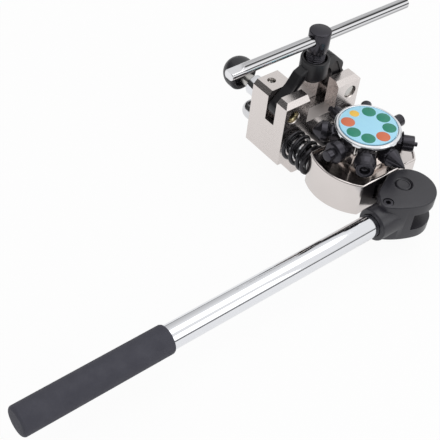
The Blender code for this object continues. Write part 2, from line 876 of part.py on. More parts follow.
def base_outline(inset=0.0):
    """Round plan with a flat towards the block, filleted corners, and a flat for the cam."""
    radius = BASE_RADIUS - inset
    front = base_front - base_x - inset
    back = base_x - base_back - inset
    fillet = BASE_CORNER_FILLET - inset
    front_angle = math.acos(front / radius)
    fillet_x = fillet - back
    fillet_y = math.sqrt((radius - fillet) ** 2 - fillet_x**2)
    fillet_angle = math.atan2(fillet_y, fillet_x)
    upper = arc((0.0, 0.0), radius, front_angle, fillet_angle, 24)
    upper += arc((fillet_x, fillet_y), fillet, fillet_angle, math.pi, 6)[1:]
    lower = [(x, -y) for x, y in reversed(upper)]
    return upper + lower


def make_turret_base():
    """Carriage disc with a sunk floor, rod seats, the bar's bore and the index bore."""
    base = extruded(
        "turret_base",
        base_outline(),
        BASE_THICKNESS,
        nickel,
        (base_x, 0.0, (base_bottom + base_top) / 2),
    )
    sink = extruded(
        "cut_base_recess",
        base_outline(BASE_RIM_WIDTH),
        2 * BASE_RECESS_DEPTH,
        None,
        (base_x, 0.0, base_top),
        UPRIGHT,
        cutters,
    )
    cut(base, hide_cutter(sink))
    for side, label in ((-1, "near"), (1, "far")):
        seat = round_cutter(
            "cut_rod_seat_" + label,
            ROD_SPIGOT_RADIUS + SEAT_GAP,
            2 * ROD_SPIGOT_LENGTH,
            (base_back - ROD_SPIGOT_LENGTH, side * rod_y, rod_z),
            ALONG_X,
        )
        cut(base, seat)
    bar = round_cutter(
        "cut_base_bar_bore",
        BAR_RADIUS + RUNNING_GAP,
        2 * BASE_RADIUS + BASE_CAM_FACE_FROM_BLOCK,
        (0.0, 0.0, bar_z),
        ALONG_X,
    )
    cut(base, bar)
    spindle = round_cutter(
        "cut_spindle_seat",
        SPINDLE_RADIUS + SEAT_GAP,
        SPINDLE_SEAT_DEPTH + BASE_RECESS_DEPTH,
        (base_x, 0.0, base_floor - SPINDLE_SEAT_DEPTH),
        UPRIGHT,
    )
    cut(base, spindle)
    ball = round_cutter(
        "cut_index_bore",
        INDEX_BALL_RADIUS + RUNNING_GAP,
        index_depth() + BASE_RECESS_DEPTH,
        (base_x, INDEX_BALL_CIRCLE, base_floor - index_depth()),
        UPRIGHT,
    )
    cut(base, ball)
    return base


def index_depth():
    """Depth of the bore that holds the index ball and its spring."""
    return 2 * INDEX_BALL_RADIUS + INDEX_SPRING_LENGTH + 3 * SEAT_GAP


def make_spindle():
    """Shouldered spindle that the turret turns on, with a socket in its head."""
    bottom = base_floor - SPINDLE_SEAT_DEPTH + SEAT_GAP
    head_low = turret_top - SPINDLE_HEAD_THICKNESS
    length = turret_top - bottom
    spindle = turned(
        "turret_spindle",
        [
            (0.0, length),
            (SPINDLE_HEAD_RADIUS, length),
            (SPINDLE_HEAD_RADIUS, head_low - bottom),
            (SPINDLE_RADIUS, head_low - bottom),
            (SPINDLE_RADIUS, 0.0),
            (0.0, 0.0),
        ],
        steel,
        (base_x, 0.0, bottom),
    )
    socket = hide_cutter(
        prism(
            "cut_spindle_socket",
            SPINDLE_SOCKET_RADIUS,
            2 * SPINDLE_HEAD_THICKNESS,
            6,
            (base_x, 0.0, turret_top - 2 * SPINDLE_HEAD_THICKNESS / 3),
            UPRIGHT,
            cutters,
        )
    )
    cut(spindle, socket)
    return spindle


def make_index_detent():
    """Ball and coil spring under the turret, at the station circle."""
    ball_z = base_floor - INDEX_BALL_RADIUS
    mesh = bpy.data.meshes.new("index_ball")
    body = bmesh.new()
    bmesh.ops.create_uvsphere(body, u_segments=12, v_segments=8, radius=INDEX_BALL_RADIUS)
    body.to_mesh(mesh)
    body.free()
    place = (base_x, INDEX_BALL_CIRCLE, ball_z)
    ball = add_object("index_ball", mesh, steel, place, UPRIGHT, parts)
    smooth(ball, 60.0)
    low = base_floor - index_depth() + SEAT_GAP + INDEX_WIRE_RADIUS
    high = ball_z - INDEX_BALL_RADIUS - SEAT_GAP - INDEX_WIRE_RADIUS
    centre = (base_x, INDEX_BALL_CIRCLE, low)
    stages = [(INDEX_SPRING_TURNS, (high - low) / INDEX_SPRING_TURNS)]
    coil = helix(centre, INDEX_BALL_RADIUS - INDEX_WIRE_RADIUS, stages, FINE_STEPS // 2, "Z")
    spring = wire_coil("index_spring", coil, INDEX_WIRE_RADIUS, steel, 1)
    return [ball, spring]


def make_turret_body():
    """Eight-sided body on a round foot, bored for the spindle and each punch's shank."""
    corner_radius = TURRET_ACROSS_FLATS / 2 / math.cos(math.pi / TURRET_STATIONS)
    body = prism(
        "turret_body",
        corner_radius,
        turret_top - turret_skirt,
        TURRET_STATIONS,
        (base_x, 0.0, turret_skirt),
        UPRIGHT,
        parts,
        turn=math.pi / TURRET_STATIONS,
    )
    body.data.materials.append(nickel)
    bevel(body, TURRET_EDGE_CHAMFER, 1, 80.0)
    foot = prism(
        "turret_foot",
        TURRET_FOOT_RADIUS,
        2 * (turret_skirt - turret_bottom),
        ROUND_STEPS,
        (base_x, 0.0, turret_bottom),
        UPRIGHT,
        cutters,
    )
    join(body, foot)
    tools = [
        round_cutter(
            "cut_turret_bore",
            SPINDLE_RADIUS + RUNNING_GAP,
            2 * TURRET_HEIGHT,
            (base_x, 0.0, turret_bottom - TURRET_HEIGHT / 2),
            UPRIGHT,
        ),
        round_cutter(
            "cut_turret_head_seat",
            SPINDLE_HEAD_RADIUS + RUNNING_GAP,
            TURRET_HEIGHT,
            (base_x, 0.0, turret_top - SPINDLE_HEAD_THICKNESS - RUNNING_GAP),
            UPRIGHT,
        ),
    ]
    depth = PUNCH_SHANK_LENGTH + SEAT_GAP
    for station in range(TURRET_STATIONS):
        angle = math.tau * station / TURRET_STATIONS
        x, y = polar(TURRET_ACROSS_FLATS / 2 - depth, angle, (base_x, 0.0))
        tools.append(
            round_cutter(
                "cut_shank_%d" % (station + 1),
                PUNCH_SHANK_RADIUS + SEAT_GAP,
                2 * depth,
                (x, y, punch_z),
                (0.0, math.pi / 2, angle),
                sides=FINE_STEPS,
            )
        )
        x, y = polar(INDEX_BALL_CIRCLE, angle, (base_x, 0.0))
        tools.append(
            round_cutter(
                "cut_dimple_%d" % (station + 1),
                INDEX_DIMPLE_RADIUS,
                2 * INDEX_DIMPLE_RADIUS,
                (x, y, turret_bottom - INDEX_DIMPLE_RADIUS),
                UPRIGHT,
                INDEX_DIMPLE_RADIUS / 3,
                FINE_STEPS // 2,
            )
        )
    for tool in tools:
        cut(body, tool)
    return body


def make_dial():
    """Round bezel on top of the turret with a sunk label disc."""
    low = turret_top + SEAT_GAP
    seat = DIAL_LABEL_THICKNESS - DIAL_LABEL_PROUD + SEAT_GAP
    lip = DIAL_LABEL_RADIUS + SEAT_GAP
    edge = DIAL_THICKNESS / 4
    bezel = turned(
        "dial_bezel",
        [
            (0.0, DIAL_THICKNESS - seat),
            (lip, DIAL_THICKNESS - seat),
            (lip, DIAL_THICKNESS),
            (DIAL_RADIUS - edge, DIAL_THICKNESS),
            (DIAL_RADIUS, DIAL_THICKNESS - edge),
            (DIAL_RADIUS, edge),
            (DIAL_RADIUS - edge, 0.0),
            (0.0, 0.0),
        ],
        chrome,
        (base_x, 0.0, low),
        steps=DIAL_STEPS,
    )
    label = turned(
        "dial_label",
        [
            (0.0, DIAL_LABEL_THICKNESS),
            (DIAL_LABEL_RADIUS, DIAL_LABEL_THICKNESS),
            (DIAL_LABEL_RADIUS, 0.0),
            (0.0, 0.0),
        ],
        label_blue,
        (base_x, 0.0, low + DIAL_THICKNESS - seat + SEAT_GAP),
        steps=DIAL_STEPS,
    )
    return [bezel, label]


# Noses of the eight punches, station by station from +X anticlockwise. Each is a list of
# (radius, distance from the turret's flat), and hollow gives a bore in its end.
PUNCH_NOSES = [
    {"nose": [(0.0081, 0.0085), (0.0006, 0.0234)], "hollow": 0.0},
    {"nose": [(0.0066, 0.0075), (0.0066, 0.018), (0.0018, 0.018), (0.0018, 0.021)], "hollow": 0.0},
    {"nose": [(0.0052, 0.0075), (0.0052, 0.0200), (0.0044, 0.0208)], "hollow": 0.0},
    {"nose": [(0.0046, 0.0075), (0.0046, 0.0214), (0.0036, 0.0224)], "hollow": 0.0},
    {"nose": [(0.0060, 0.0075), (0.0060, 0.0160), (0.0026, 0.0178), (0.0026, 0.0220)], "hollow": 0.0},
    {"nose": [(0.0070, 0.0075), (0.0088, 0.0110), (0.0088, 0.0160), (0.0022, 0.0222)], "hollow": 0.0},
    {
        "nose": [
            (0.0070, 0.0078),
            (0.0092, 0.0090),
            (0.0092, 0.0150),
            (0.0075, 0.0160),
            (0.0046, 0.0162),
            (0.0046, 0.0216),
            (0.0040, 0.0222),
        ],
        "hollow": 0.0,
    },
    {
        "nose": [
            (0.0060, 0.0080),
            (0.0090, 0.0084),
            (0.0090, 0.0128),
            (0.0074, 0.0167),
            (0.0074, 0.0192),
            (0.0068, 0.0197),
        ],
        "hollow": 0.0042,
    },
]


def make_punch(station):
    """One punch: shank in the turret, hexagon collar, and a turned nose."""
    shape = PUNCH_NOSES[station]
    angle = math.tau * station / TURRET_STATIONS
    seat = TURRET_ACROSS_FLATS / 2 + SEAT_GAP
    x, y = polar(seat, angle, (base_x, 0.0))
    lean = (0.0, math.pi / 2, angle)
    nose = list(reversed(shape["nose"]))
    tip = nose[0][1]
    if shape["hollow"]:
        bore = shape["hollow"]
        profile = [(0.0, tip - 2 * bore), (bore, tip - bore), (bore, tip)]
    else:
        profile = [(0.0, tip)]
    profile += nose
    profile += [
        (nose[-1][0], PUNCH_COLLAR_LENGTH / 2),
        (PUNCH_SHANK_RADIUS, PUNCH_COLLAR_LENGTH / 2),
        (PUNCH_SHANK_RADIUS, -PUNCH_SHANK_LENGTH),
        (0.0, -PUNCH_SHANK_LENGTH),
    ]
    name = "punch_%d" % (station + 1)
    punch = turned(name, profile, black_oxide, (x, y, punch_z), lean, steps=FINE_STEPS)
    collar = prism(
        name + "_collar",
        PUNCH_COLLAR_RADIUS,
        PUNCH_COLLAR_LENGTH,
        6,
        (x, y, punch_z),
        lean,
        cutters,
    )
    join(punch, bevel(collar, PUNCH_COLLAR_RADIUS / 12, 1, 80.0))
    return punch


def lever_outline():
    """Plan of the cam head about its pivot, anticlockwise from the cam's first touch.

    The cam face has a support function that falls by CAM_RISE_PER_RADIAN for each radian
    of its normal, so a flat follower moves in proportion to the lever's turn.
    """
    sweep = math.radians(LEVER_SWEEP_DEG)
    rise = CAM_RISE_PER_RADIAN
    cam = []
    steps = 16
    for i in range(steps + 1):
        turn = sweep * i / steps
        normal = math.pi - turn
        reach = cam_start_radius + rise * turn
        x = reach * math.cos(normal) + rise * math.sin(normal)
        y = reach * math.sin(normal) - rise * math.cos(normal)
        cam.append((x, y))
    normal = math.pi - sweep
    back = CAM_BACK_RADIUS
    centre = polar(-back, normal, cam[-1])
    back_end = math.radians(CAM_BACK_END_DEG)
    corner = (HANDLE_OFFSET_X, -HANDLE_SCREW_FROM_PIVOT)
    corner_radius = LEVER_CORNER_RADIUS
    # The flank circle is tangent inside to the back circle at back_end and to the corner.
    away = (math.cos(back_end), math.sin(back_end))
    gap_x = centre[0] - corner[0]
    gap_y = centre[1] - corner[1]
    inner = back - corner_radius
    excess = (gap_x**2 + gap_y**2 - inner**2) / (2 * (inner + gap_x * away[0] + gap_y * away[1]))
    flank = back + excess
    flank_centre = polar(-excess, back_end, centre)
    flank_end = math.atan2(corner[1] - flank_centre[1], corner[0] - flank_centre[0])
    heel = (LEVER_HEEL_OFFSET_X, -LEVER_HEEL_OFFSET_Y)
    heel_radius = LEVER_HEEL_RADIUS
    run = math.hypot(heel[0] - corner[0], heel[1] - corner[1])
    along = math.atan2(heel[1] - corner[1], heel[0] - corner[0])
    heel_start = along + math.acos((corner_radius - heel_radius) / run) - math.tau
    nose_low = (-cam_start_radius, rise - CAM_NOSE_FLAT)
    nose_run = math.hypot(nose_low[0] - heel[0], nose_low[1] - heel[1])
    nose_along = math.atan2(nose_low[1] - heel[1], nose_low[0] - heel[0])
    heel_end = nose_along + math.acos(heel_radius / nose_run) - math.tau
    clockwise = list(cam)
    clockwise += arc(centre, back, normal, back_end, 14)[1:]
    clockwise += arc(flank_centre, flank, back_end, flank_end, 5)[1:]
    clockwise += arc(corner, corner_radius, flank_end, heel_start, 8)[1:]
    clockwise += arc(heel, heel_radius, heel_start, heel_end, 8)
    clockwise.append(nose_low)
    return clockwise[::-1]


def make_lever_head():
    """Forked cam head: two ears, web and handle socket, bored for pivot and handle."""
    head = extruded("lever_head", lever_outline(), LEVER_HEIGHT, cast_black, (pivot_x, 0.0, bar_z))
    bevel(head, LEVER_EDGE_ROUND, 1, 60.0)
    inner_end = HANDLE_SCREW_FROM_PIVOT - LEVER_CORNER_RADIUS
    socket = turned(
        "handle_socket",
        [
            (0.0, SOCKET_MOUTH),
            (SOCKET_RADIUS - SOCKET_MOUTH_CHAMFER, SOCKET_MOUTH),
            (SOCKET_RADIUS, SOCKET_MOUTH - SOCKET_MOUTH_CHAMFER),
            (SOCKET_RADIUS, inner_end),
            (0.0, inner_end),
        ],
        None,
        (handle_x, 0.0, bar_z),
        ALONG_MINUS_Y,
        cutters,
    )
    join(head, socket)
    slot_end = -(BAR_EYE_RADIUS + RUNNING_GAP)
    wide = 2 * BASE_RADIUS
    tools = [
        box_cutter(
            "cut_fork",
            (pivot_x - wide, slot_end, lever_bottom + LEVER_EAR_THICKNESS),
            (pivot_x + wide, wide, lever_top - LEVER_EAR_THICKNESS),
        ),
        round_cutter(
            "cut_pivot",
            PIVOT_PIN_RADIUS + SEAT_GAP,
            2 * LEVER_HEIGHT,
            (pivot_x, 0.0, bar_z - LEVER_HEIGHT),
            UPRIGHT,
        ),
        round_cutter(
            "cut_pivot_top",
            PIVOT_PIN_RADIUS + SEAT_GAP,
            2 * PIVOT_PIN_CHAMFER,
            (pivot_x, 0.0, lever_top - PIVOT_PIN_CHAMFER),
            UPRIGHT,
            PIVOT_PIN_RADIUS + SEAT_GAP + 2 * PIVOT_PIN_CHAMFER,
        ),
        round_cutter(
            "cut_handle_screw",
            HANDLE_SCREW_RADIUS + SEAT_GAP,
            LEVER_HEIGHT,
            (handle_x, -HANDLE_SCREW_FROM_PIVOT, bar_z),
            UPRIGHT,
        ),
        round_cutter(
            "cut_socket",
            HANDLE_RADIUS + SEAT_GAP,
            2 * SOCKET_DEPTH,
            (handle_x, -SOCKET_MOUTH + SOCKET_DEPTH, bar_z),
            ALONG_MINUS_Y,
        ),
    ]
    for tool in tools:
        cut(head, tool)
    return head


def make_pivot_pin():
    return plain_pin(
        "lever_pivot_pin",
        PIVOT_PIN_RADIUS,
        LEVER_HEIGHT - 2 * SEAT_GAP,
        PIVOT_PIN_CHAMFER,
        black_oxide,
        (pivot_x, 0.0, lever_bottom + SEAT_GAP),
        UPRIGHT,
    )


def make_handle():
    """Tube, locking screw and rubber grip."""
    inner_end = SOCKET_MOUTH - SOCKET_DEPTH + SEAT_GAP
    bore = HANDLE_RADIUS - HANDLE_WALL
    tube = turned(
        "handle_tube",
        [
            (bore, HANDLE_END),
            (HANDLE_RADIUS, HANDLE_END),
            (HANDLE_RADIUS, inner_end),
            (bore, inner_end),
        ],
        chrome,
        (handle_x, 0.0, bar_z),
        ALONG_MINUS_Y,
    )
    screw_low = bar_z + HANDLE_RADIUS + SEAT_GAP
    screw = prism(
        "handle_set_screw",
        HANDLE_SCREW_RADIUS,
        lever_top - SEAT_GAP - screw_low,
        ROUND_STEPS,
        (handle_x, -HANDLE_SCREW_FROM_PIVOT, screw_low),
        UPRIGHT,
        parts,
    )
    screw.data.materials.append(black_oxide)
    socket = hide_cutter(
        prism(
            "cut_handle_screw_socket",
            HANDLE_SCREW_SOCKET_RADIUS,
            2 * HANDLE_SCREW_SOCKET_DEPTH,
            6,
            (handle_x, -HANDLE_SCREW_FROM_PIVOT, lever_top - HANDLE_SCREW_SOCKET_DEPTH),
            UPRIGHT,
            cutters,
        )
    )
    cut(screw, socket)
    outer_end = HANDLE_END + SEAT_GAP + GRIP_END_WALL
    front = outer_end - GRIP_LENGTH
    inside = HANDLE_RADIUS + SEAT_GAP
    round_centre = (GRIP_RADIUS - GRIP_END_ROUND, outer_end - GRIP_END_ROUND)
    profile = [(0.0, outer_end)]
    profile += arc(round_centre, GRIP_END_ROUND, math.pi / 2, 0.0, 8)
    profile += [
        (GRIP_RADIUS, front + GRIP_LIP),
        (GRIP_RADIUS - GRIP_LIP, front),
        (inside, front),
        (inside, HANDLE_END + SEAT_GAP),
        (0.0, HANDLE_END + SEAT_GAP),
    ]
    grip = turned("handle_grip", profile, rubber, (handle_x, 0.0, bar_z), ALONG_MINUS_Y)
    return [tube, screw, grip]


def yoke_circles():
    """Circles (y, z, radius) that the yoke's outline wraps, from the near eye to the far eye."""
    eye = YOKE_EYE_RADIUS
    near_neck = (YOKE_NEAR_LEAN - yoke_pin_y, collar_bottom - 0.0057, 0.0037)
    near_shoulder = (-0.0158, collar_bottom + 0.0036, 0.0044)
    near_root = (-0.0045, collar_bottom + 0.0078, 0.0052)
    far_root = (0.0150, collar_bottom + 0.0102, 0.0056)
    far_shoulder = (0.0252, collar_bottom, 0.0060)
    far_neck = (yoke_pin_y - YOKE_FAR_LEAN, collar_bottom - 0.0058, 0.0070)
    return [
        (-yoke_pin_y, yoke_pin_z, eye),
        near_neck,
        near_shoulder,
        near_root,
        far_root,
        far_shoulder,
        far_neck,
        (yoke_pin_y, yoke_pin_z, eye),
    ]


def make_yoke():
    """Forged bridge with a threaded collar, an eye at each end and sunk webs on its faces."""
    circles = yoke_circles()
    yoke = across_x("yoke", belt(circles), YOKE_THICKNESS, cast_black, yoke_x)
    bevel(yoke, YOKE_EDGE_ROUND, 1, 60.0)
    collar = prism(
        "yoke_collar",
        COLLAR_RADIUS,
        COLLAR_HEIGHT,
        ROUND_STEPS,
        (yoke_x, 0.0, collar_bottom),
        UPRIGHT,
        cutters,
    )
    join(yoke, bevel(collar, YOKE_EDGE_ROUND, 1, 60.0))
    tools = []
    near_eye, near_neck, near_shoulder = circles[:3]
    far_root, far_shoulder, far_neck, far_eye = circles[4:]
    near_low = (
        (near_eye[0] + near_neck[0]) / 2,
        (near_eye[1] + near_neck[1]) / 2,
        near_shoulder[2],
    )
    far_low = (
        (far_eye[0] + far_neck[0]) / 2,
        (far_eye[1] + far_neck[1]) / 2,
        far_neck[2],
    )
    far_high = (
        (far_root[0] + far_shoulder[0]) / 2,
        (far_root[1] + far_shoulder[1]) / 2 - YOKE_EDGE_ROUND,
        far_root[2],
    )
    webs = (
        ("near", [near_low, near_neck, near_shoulder]),
        ("far", [far_low, far_neck, far_high]),
    )
    for face, face_name in ((-1, "back"), (1, "front")):
        middle = yoke_x + face * YOKE_THICKNESS / 2
        for label, chain in webs:
            thinner = [(y, z, radius - YOKE_WEB_RIM) for y, z, radius in chain]
            pocket = across_x(
                "cut_web_%s_%s" % (label, face_name),
                belt(thinner, 45.0),
                2 * YOKE_WEB_DEPTH,
                None,
                middle,
                cutters,
            )
            tools.append(hide_cutter(pocket))
    for side, label in ((-1, "near"), (1, "far")):
        tools.append(
            round_cutter(
                "cut_yoke_eye_" + label,
                yoke_hole_radius,
                2 * YOKE_THICKNESS,
                (yoke_x - YOKE_THICKNESS, side * yoke_pin_y, yoke_pin_z),
                ALONG_X,
            )
        )
    tools.append(
        round_cutter(
            "cut_collar_bore",
            SCREW_RADIUS + RUNNING_GAP,
            2 * COLLAR_HEIGHT,
            (yoke_x, 0.0, collar_bottom - COLLAR_HEIGHT / 2),
            UPRIGHT,
        )
    )
    tools.append(
        round_cutter(
            "cut_collar_cup",
            COLLAR_CUP_RADIUS,
            2 * COLLAR_CUP_DEPTH,
            (yoke_x, 0.0, collar_top - COLLAR_CUP_DEPTH),
            UPRIGHT,
        )
    )
    for tool in tools:
        cut(yoke, tool)
    return yoke


def make_clamp_screw():
    """Screw with a drilled head, and the pressure foot on its spigot."""
    foot_top = collar_bottom - SEAT_GAP
    foot_low = foot_top - FOOT_THICKNESS
    spigot_low = foot_low + FOOT_FLOOR + RUNNING_GAP
    shoulder = collar_bottom + RUNNING_GAP
    edge = SCREW_HEAD_CHAMFER
    profile = [
        (0.0, screw_top),
        (SCREW_HEAD_RADIUS - edge, screw_top),
        (SCREW_HEAD_RADIUS, screw_top - edge),
        (SCREW_HEAD_RADIUS, screw_head_bottom + edge),
        (SCREW_HEAD_RADIUS - edge, screw_head_bottom),
        (SCREW_RADIUS, screw_head_bottom),
        (SCREW_RADIUS, shoulder),
        (SPIGOT_RADIUS, shoulder),
        (SPIGOT_RADIUS, spigot_low),
        (0.0, spigot_low),
    ]
    screw = turned("clamp_screw", profile, black_oxide, (yoke_x, 0.0, 0.0))
    hole = round_cutter(
        "cut_tee_hole",
        TEE_BAR_RADIUS + RUNNING_GAP,
        4 * SCREW_HEAD_RADIUS,
        (yoke_x, 2 * SCREW_HEAD_RADIUS, tee_bar_z),
        ALONG_MINUS_Y,
    )
    cut(screw, hole)
    bore = SPIGOT_RADIUS + RUNNING_GAP
    edge = FOOT_THICKNESS / 4
    foot = turned(
        "pressure_foot",
        [
            (0.0, foot_low + FOOT_FLOOR),
            (bore, foot_low + FOOT_FLOOR),
            (bore, foot_top),
            (FOOT_RADIUS, foot_top),
            (FOOT_RADIUS, foot_low + edge),
            (FOOT_RADIUS - edge, foot_low),
            (0.0, foot_low),
        ],
        steel,
        (yoke_x, 0.0, 0.0),
    )
    return screw, foot


def make_tee_bar():
    """Sliding bar through the screw head, its near end hammered flat as a stop."""
    length = TEE_BAR_NEAR_REACH + TEE_BAR_FAR_REACH
    edge = TEE_BAR_RADIUS / 6
    bar = plain_pin(
        "tee_bar",
        TEE_BAR_RADIUS,
        length,
        edge,
        chrome,
        (yoke_x, -TEE_BAR_NEAR_REACH, tee_bar_z),
        ALONG_Y,
    )
    flat_from = TEE_BAR_FLAT_LENGTH - TEE_BAR_NEAR_REACH
    half = TEE_BAR_FLAT_THICKNESS / 2
    reach = TEE_BAR_RADIUS
    for side, label in ((-1, "under"), (1, "over")):
        wedge = across_x(
            "cut_tee_flat_" + label,
            [
                (flat_from, tee_bar_z + side * reach),
                (flat_from - TEE_BAR_FLAT_LENGTH / 3, tee_bar_z + side * half),
                (-TEE_BAR_NEAR_REACH - reach, tee_bar_z + side * half),
                (-TEE_BAR_NEAR_REACH - reach, tee_bar_z + side * 2 * reach),
                (flat_from, tee_bar_z + side * 2 * reach),
            ],
            4 * reach,
            None,
            yoke_x,
            cutters,
        )
        cut(bar, hide_cutter(wedge))
    return bar


def build():
    """Make every piece and hang the moving ones on their joints."""
    make_clamp_block()
    make_draw_bar()
    make_bar_nut()
    make_yoke_pins()
    make_lock_bush()
    make_lock_drag()

    carriage = joint_empty("carriage_slide", (base_x, 0.0, rod_z))
    pieces = [make_turret_base(), make_spindle()] + make_index_detent()
    for side, label in ((-1, "near"), (1, "far")):
        make_return_spring(label, side)
        pieces.append(make_guide_rod(label, side))
    carry(carriage, pieces)

    turret = joint_empty("turret_turn", (base_x, 0.0, punch_z))
    punches = [make_punch(station) for station in range(TURRET_STATIONS)]
    carry(turret, [make_turret_body()] + make_dial() + punches)

    lever = joint_empty("lever_swing", (pivot_x, 0.0, bar_z))
    carry(lever, [make_lever_head(), make_pivot_pin()] + make_handle())

    swing = joint_empty("yoke_swing", (yoke_x, yoke_pin_y, yoke_pin_z))
    screw, foot = make_clamp_screw()
    carry(swing, [make_yoke(), screw, foot, make_tee_bar()])

    lock = joint_empty("lock_pin_slide", (block_back, -yoke_pin_y, yoke_pin_z))
    carry(lock, [make_lock_pin(), make_knob()])


build()
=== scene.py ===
"""Looks of the vise-held flaring tool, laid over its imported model.

Lengths are written in millimetres and turned into metres where a piece is made. X runs
from the clamp block to the lever, Y away from the grip and Z up, as in the model.
"""

import math

import bmesh
import bpy
import numpy as np
from mathutils import Matrix


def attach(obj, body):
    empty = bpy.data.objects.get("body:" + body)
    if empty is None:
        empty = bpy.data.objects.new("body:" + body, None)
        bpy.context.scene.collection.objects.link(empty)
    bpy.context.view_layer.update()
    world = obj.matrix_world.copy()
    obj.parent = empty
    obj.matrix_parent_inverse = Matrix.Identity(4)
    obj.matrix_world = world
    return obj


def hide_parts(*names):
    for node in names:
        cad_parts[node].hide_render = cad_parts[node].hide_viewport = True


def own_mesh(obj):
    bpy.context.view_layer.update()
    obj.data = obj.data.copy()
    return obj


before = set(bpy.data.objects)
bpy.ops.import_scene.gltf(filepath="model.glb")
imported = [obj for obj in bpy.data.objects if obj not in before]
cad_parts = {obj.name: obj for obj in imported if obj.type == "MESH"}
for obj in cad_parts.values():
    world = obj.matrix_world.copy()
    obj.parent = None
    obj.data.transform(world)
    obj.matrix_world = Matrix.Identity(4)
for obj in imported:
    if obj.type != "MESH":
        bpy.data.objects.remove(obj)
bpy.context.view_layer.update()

MM = 0.001
TAU = 2.0 * math.pi

# Places shared by several pieces
BLOCK_FRONT = 21.2
BLOCK_BACK = -21.2
BLOCK_BOTTOM = 18.5
BLOCK_TOP = 81.2
CRADLE_HALF = 16.05
CRADLE_FLOOR = 54.5
YOKE_X = 3.5
YOKE_HALF = 5
PIN_Y = 32.0
PIN_Z = 66.5
PIN_RADIUS = 5.5
PIN_BORE = 5.8
ROD_Y = 30.0
ROD_Z = 38.8
ROD_RADIUS = 9.0
SPIGOT_RADIUS = 6.0
BAR_Z = 36.6
BAR_RADIUS = 7.0
BAR_BORE = 7.3
BASE_X = 72.7
BASE_RADIUS = 44.0
BASE_BACK = 51.2
BASE_FRONT = 105.2
BASE_BOTTOM = 22.9
BASE_TOP = 54.7
BASE_FLOOR = 52.2
TURRET_TOP = 76.7
SPINDLE_BORE = 7.3
PUNCH_Z = 68.5
PIVOT_X = 120.4
PIVOT_BORE = 6.7
HANDLE_X = 128.5
TUBE_RADIUS = 9.525
LEVER_LOW = 18.5
LEVER_HIGH = 54.7
COLLAR_LOW = 87.8
COLLAR_HIGH = 104.5
BAR_HOLE_Z = 122.8

# Axes shared by several pieces, each by one point on it
BAR_LINE = (0, 0, BAR_Z)
HINGE_LINE = (0, PIN_Y, PIN_Z)
LOCK_LINE = (0, -PIN_Y, PIN_Z)
DRAG_SCREW_LINE = (-13.1, -29.5, 0)
TURRET_LINE = (BASE_X, 0, 0)
PIVOT_LINE = (PIVOT_X, 0, 0)
HANDLE_LINE = (HANDLE_X, 0, BAR_Z)
SET_SCREW_LINE = (HANDLE_X, -25.4, 0)
YOKE_LINE = (YOKE_X, 0, 0)

# Metres within which points of one mesh count as the same
SAME_POINT = 0.5e-6
SAME_CUT_POINT = 1e-6


# Surfaces over a grid. A turned piece's profile lists (radius, height, fillet) in turn.


def new_object(name, data):
    """Object with the given data, linked into the scene."""
    made = bpy.data.objects.new(name, data)
    bpy.context.scene.collection.objects.link(made)
    return made


def mesh_piece(name, points, faces):
    """Mesh object in metres from millimetre points, with doubled points merged."""
    mesh = bpy.data.meshes.new(name)
    mesh.from_pydata((np.asarray(points) * MM).tolist(), [], [list(f) for f in faces])
    body = bmesh.new()
    body.from_mesh(mesh)
    bmesh.ops.remove_doubles(body, verts=body.verts, dist=SAME_POINT)
    bmesh.ops.recalc_face_normals(body, faces=body.faces)
    body.to_mesh(mesh)
    body.free()
    return new_object(name, mesh)


def grid_faces(rows, columns, wrap_rows=False):
    """Quads over a grid of points; each row closes on itself, and wrapped rows do so as well."""
    r = np.arange(rows if wrap_rows else rows - 1)[:, None]
    c = np.arange(columns)[None, :]
    r2 = (r + 1) % rows
    c2 = (c + 1) % columns
    corners = [r * columns + c, r * columns + c2, r2 * columns + c2, r2 * columns + c]
    return np.stack([np.broadcast_to(k, (r.size, c.size)) for k in corners], -1).reshape(-1, 4)


def grid_piece(name, grid, wrap_rows=False, caps=()):
    """Surface through a (rows, columns, 3) array; caps names rows closed by one flat face."""
    rows, columns = grid.shape[:2]
    faces = grid_faces(rows, columns, wrap_rows).tolist()
    for row in caps:
        faces.append((np.arange(columns) + (row % rows) * columns).tolist())
    return mesh_piece(name, grid.reshape(-1, 3), faces)


def axes_of(axis):
    """Two cross directions and the long direction, for an axis named or given in degrees."""
    named = {
        "+X": ((0, 1, 0), (0, 0, 1), (1, 0, 0)),
        "+Y": ((0, 0, 1), (1, 0, 0), (0, 1, 0)),
        "-Y": ((1, 0, 0), (0, 0, 1), (0, -1, 0)),
        "+Z": ((1, 0, 0), (0, 1, 0), (0, 0, 1)),
    }
    if axis in named:
        return [np.array(d, float) for d in named[axis]]
    t = math.radians(axis)
    return [
        np.array((-math.sin(t), math.cos(t), 0.0)),
        np.array((0.0, 0.0, 1.0)),
        np.array((math.cos(t), math.sin(t), 0.0)),
    ]


def along(axis, origin, a, b, h):
    """Points origin + a·u + b·v + h·w, where u, v cross the axis and w runs along it."""
    u, v, w = axes_of(axis)
    stack = a[..., None] * u + b[..., None] * v + h[..., None] * w
    return stack + np.array(origin, float)


def circle(count):
    """Angles evenly round a full turn."""
    return np.linspace(0, TAU, count, endpoint=False)


def arc(middle, radius, angles):
    """Points of a circle in the plane at the given angles."""
    return np.array(middle, float) + radius * np.stack([np.cos(angles), np.sin(angles)], 1)


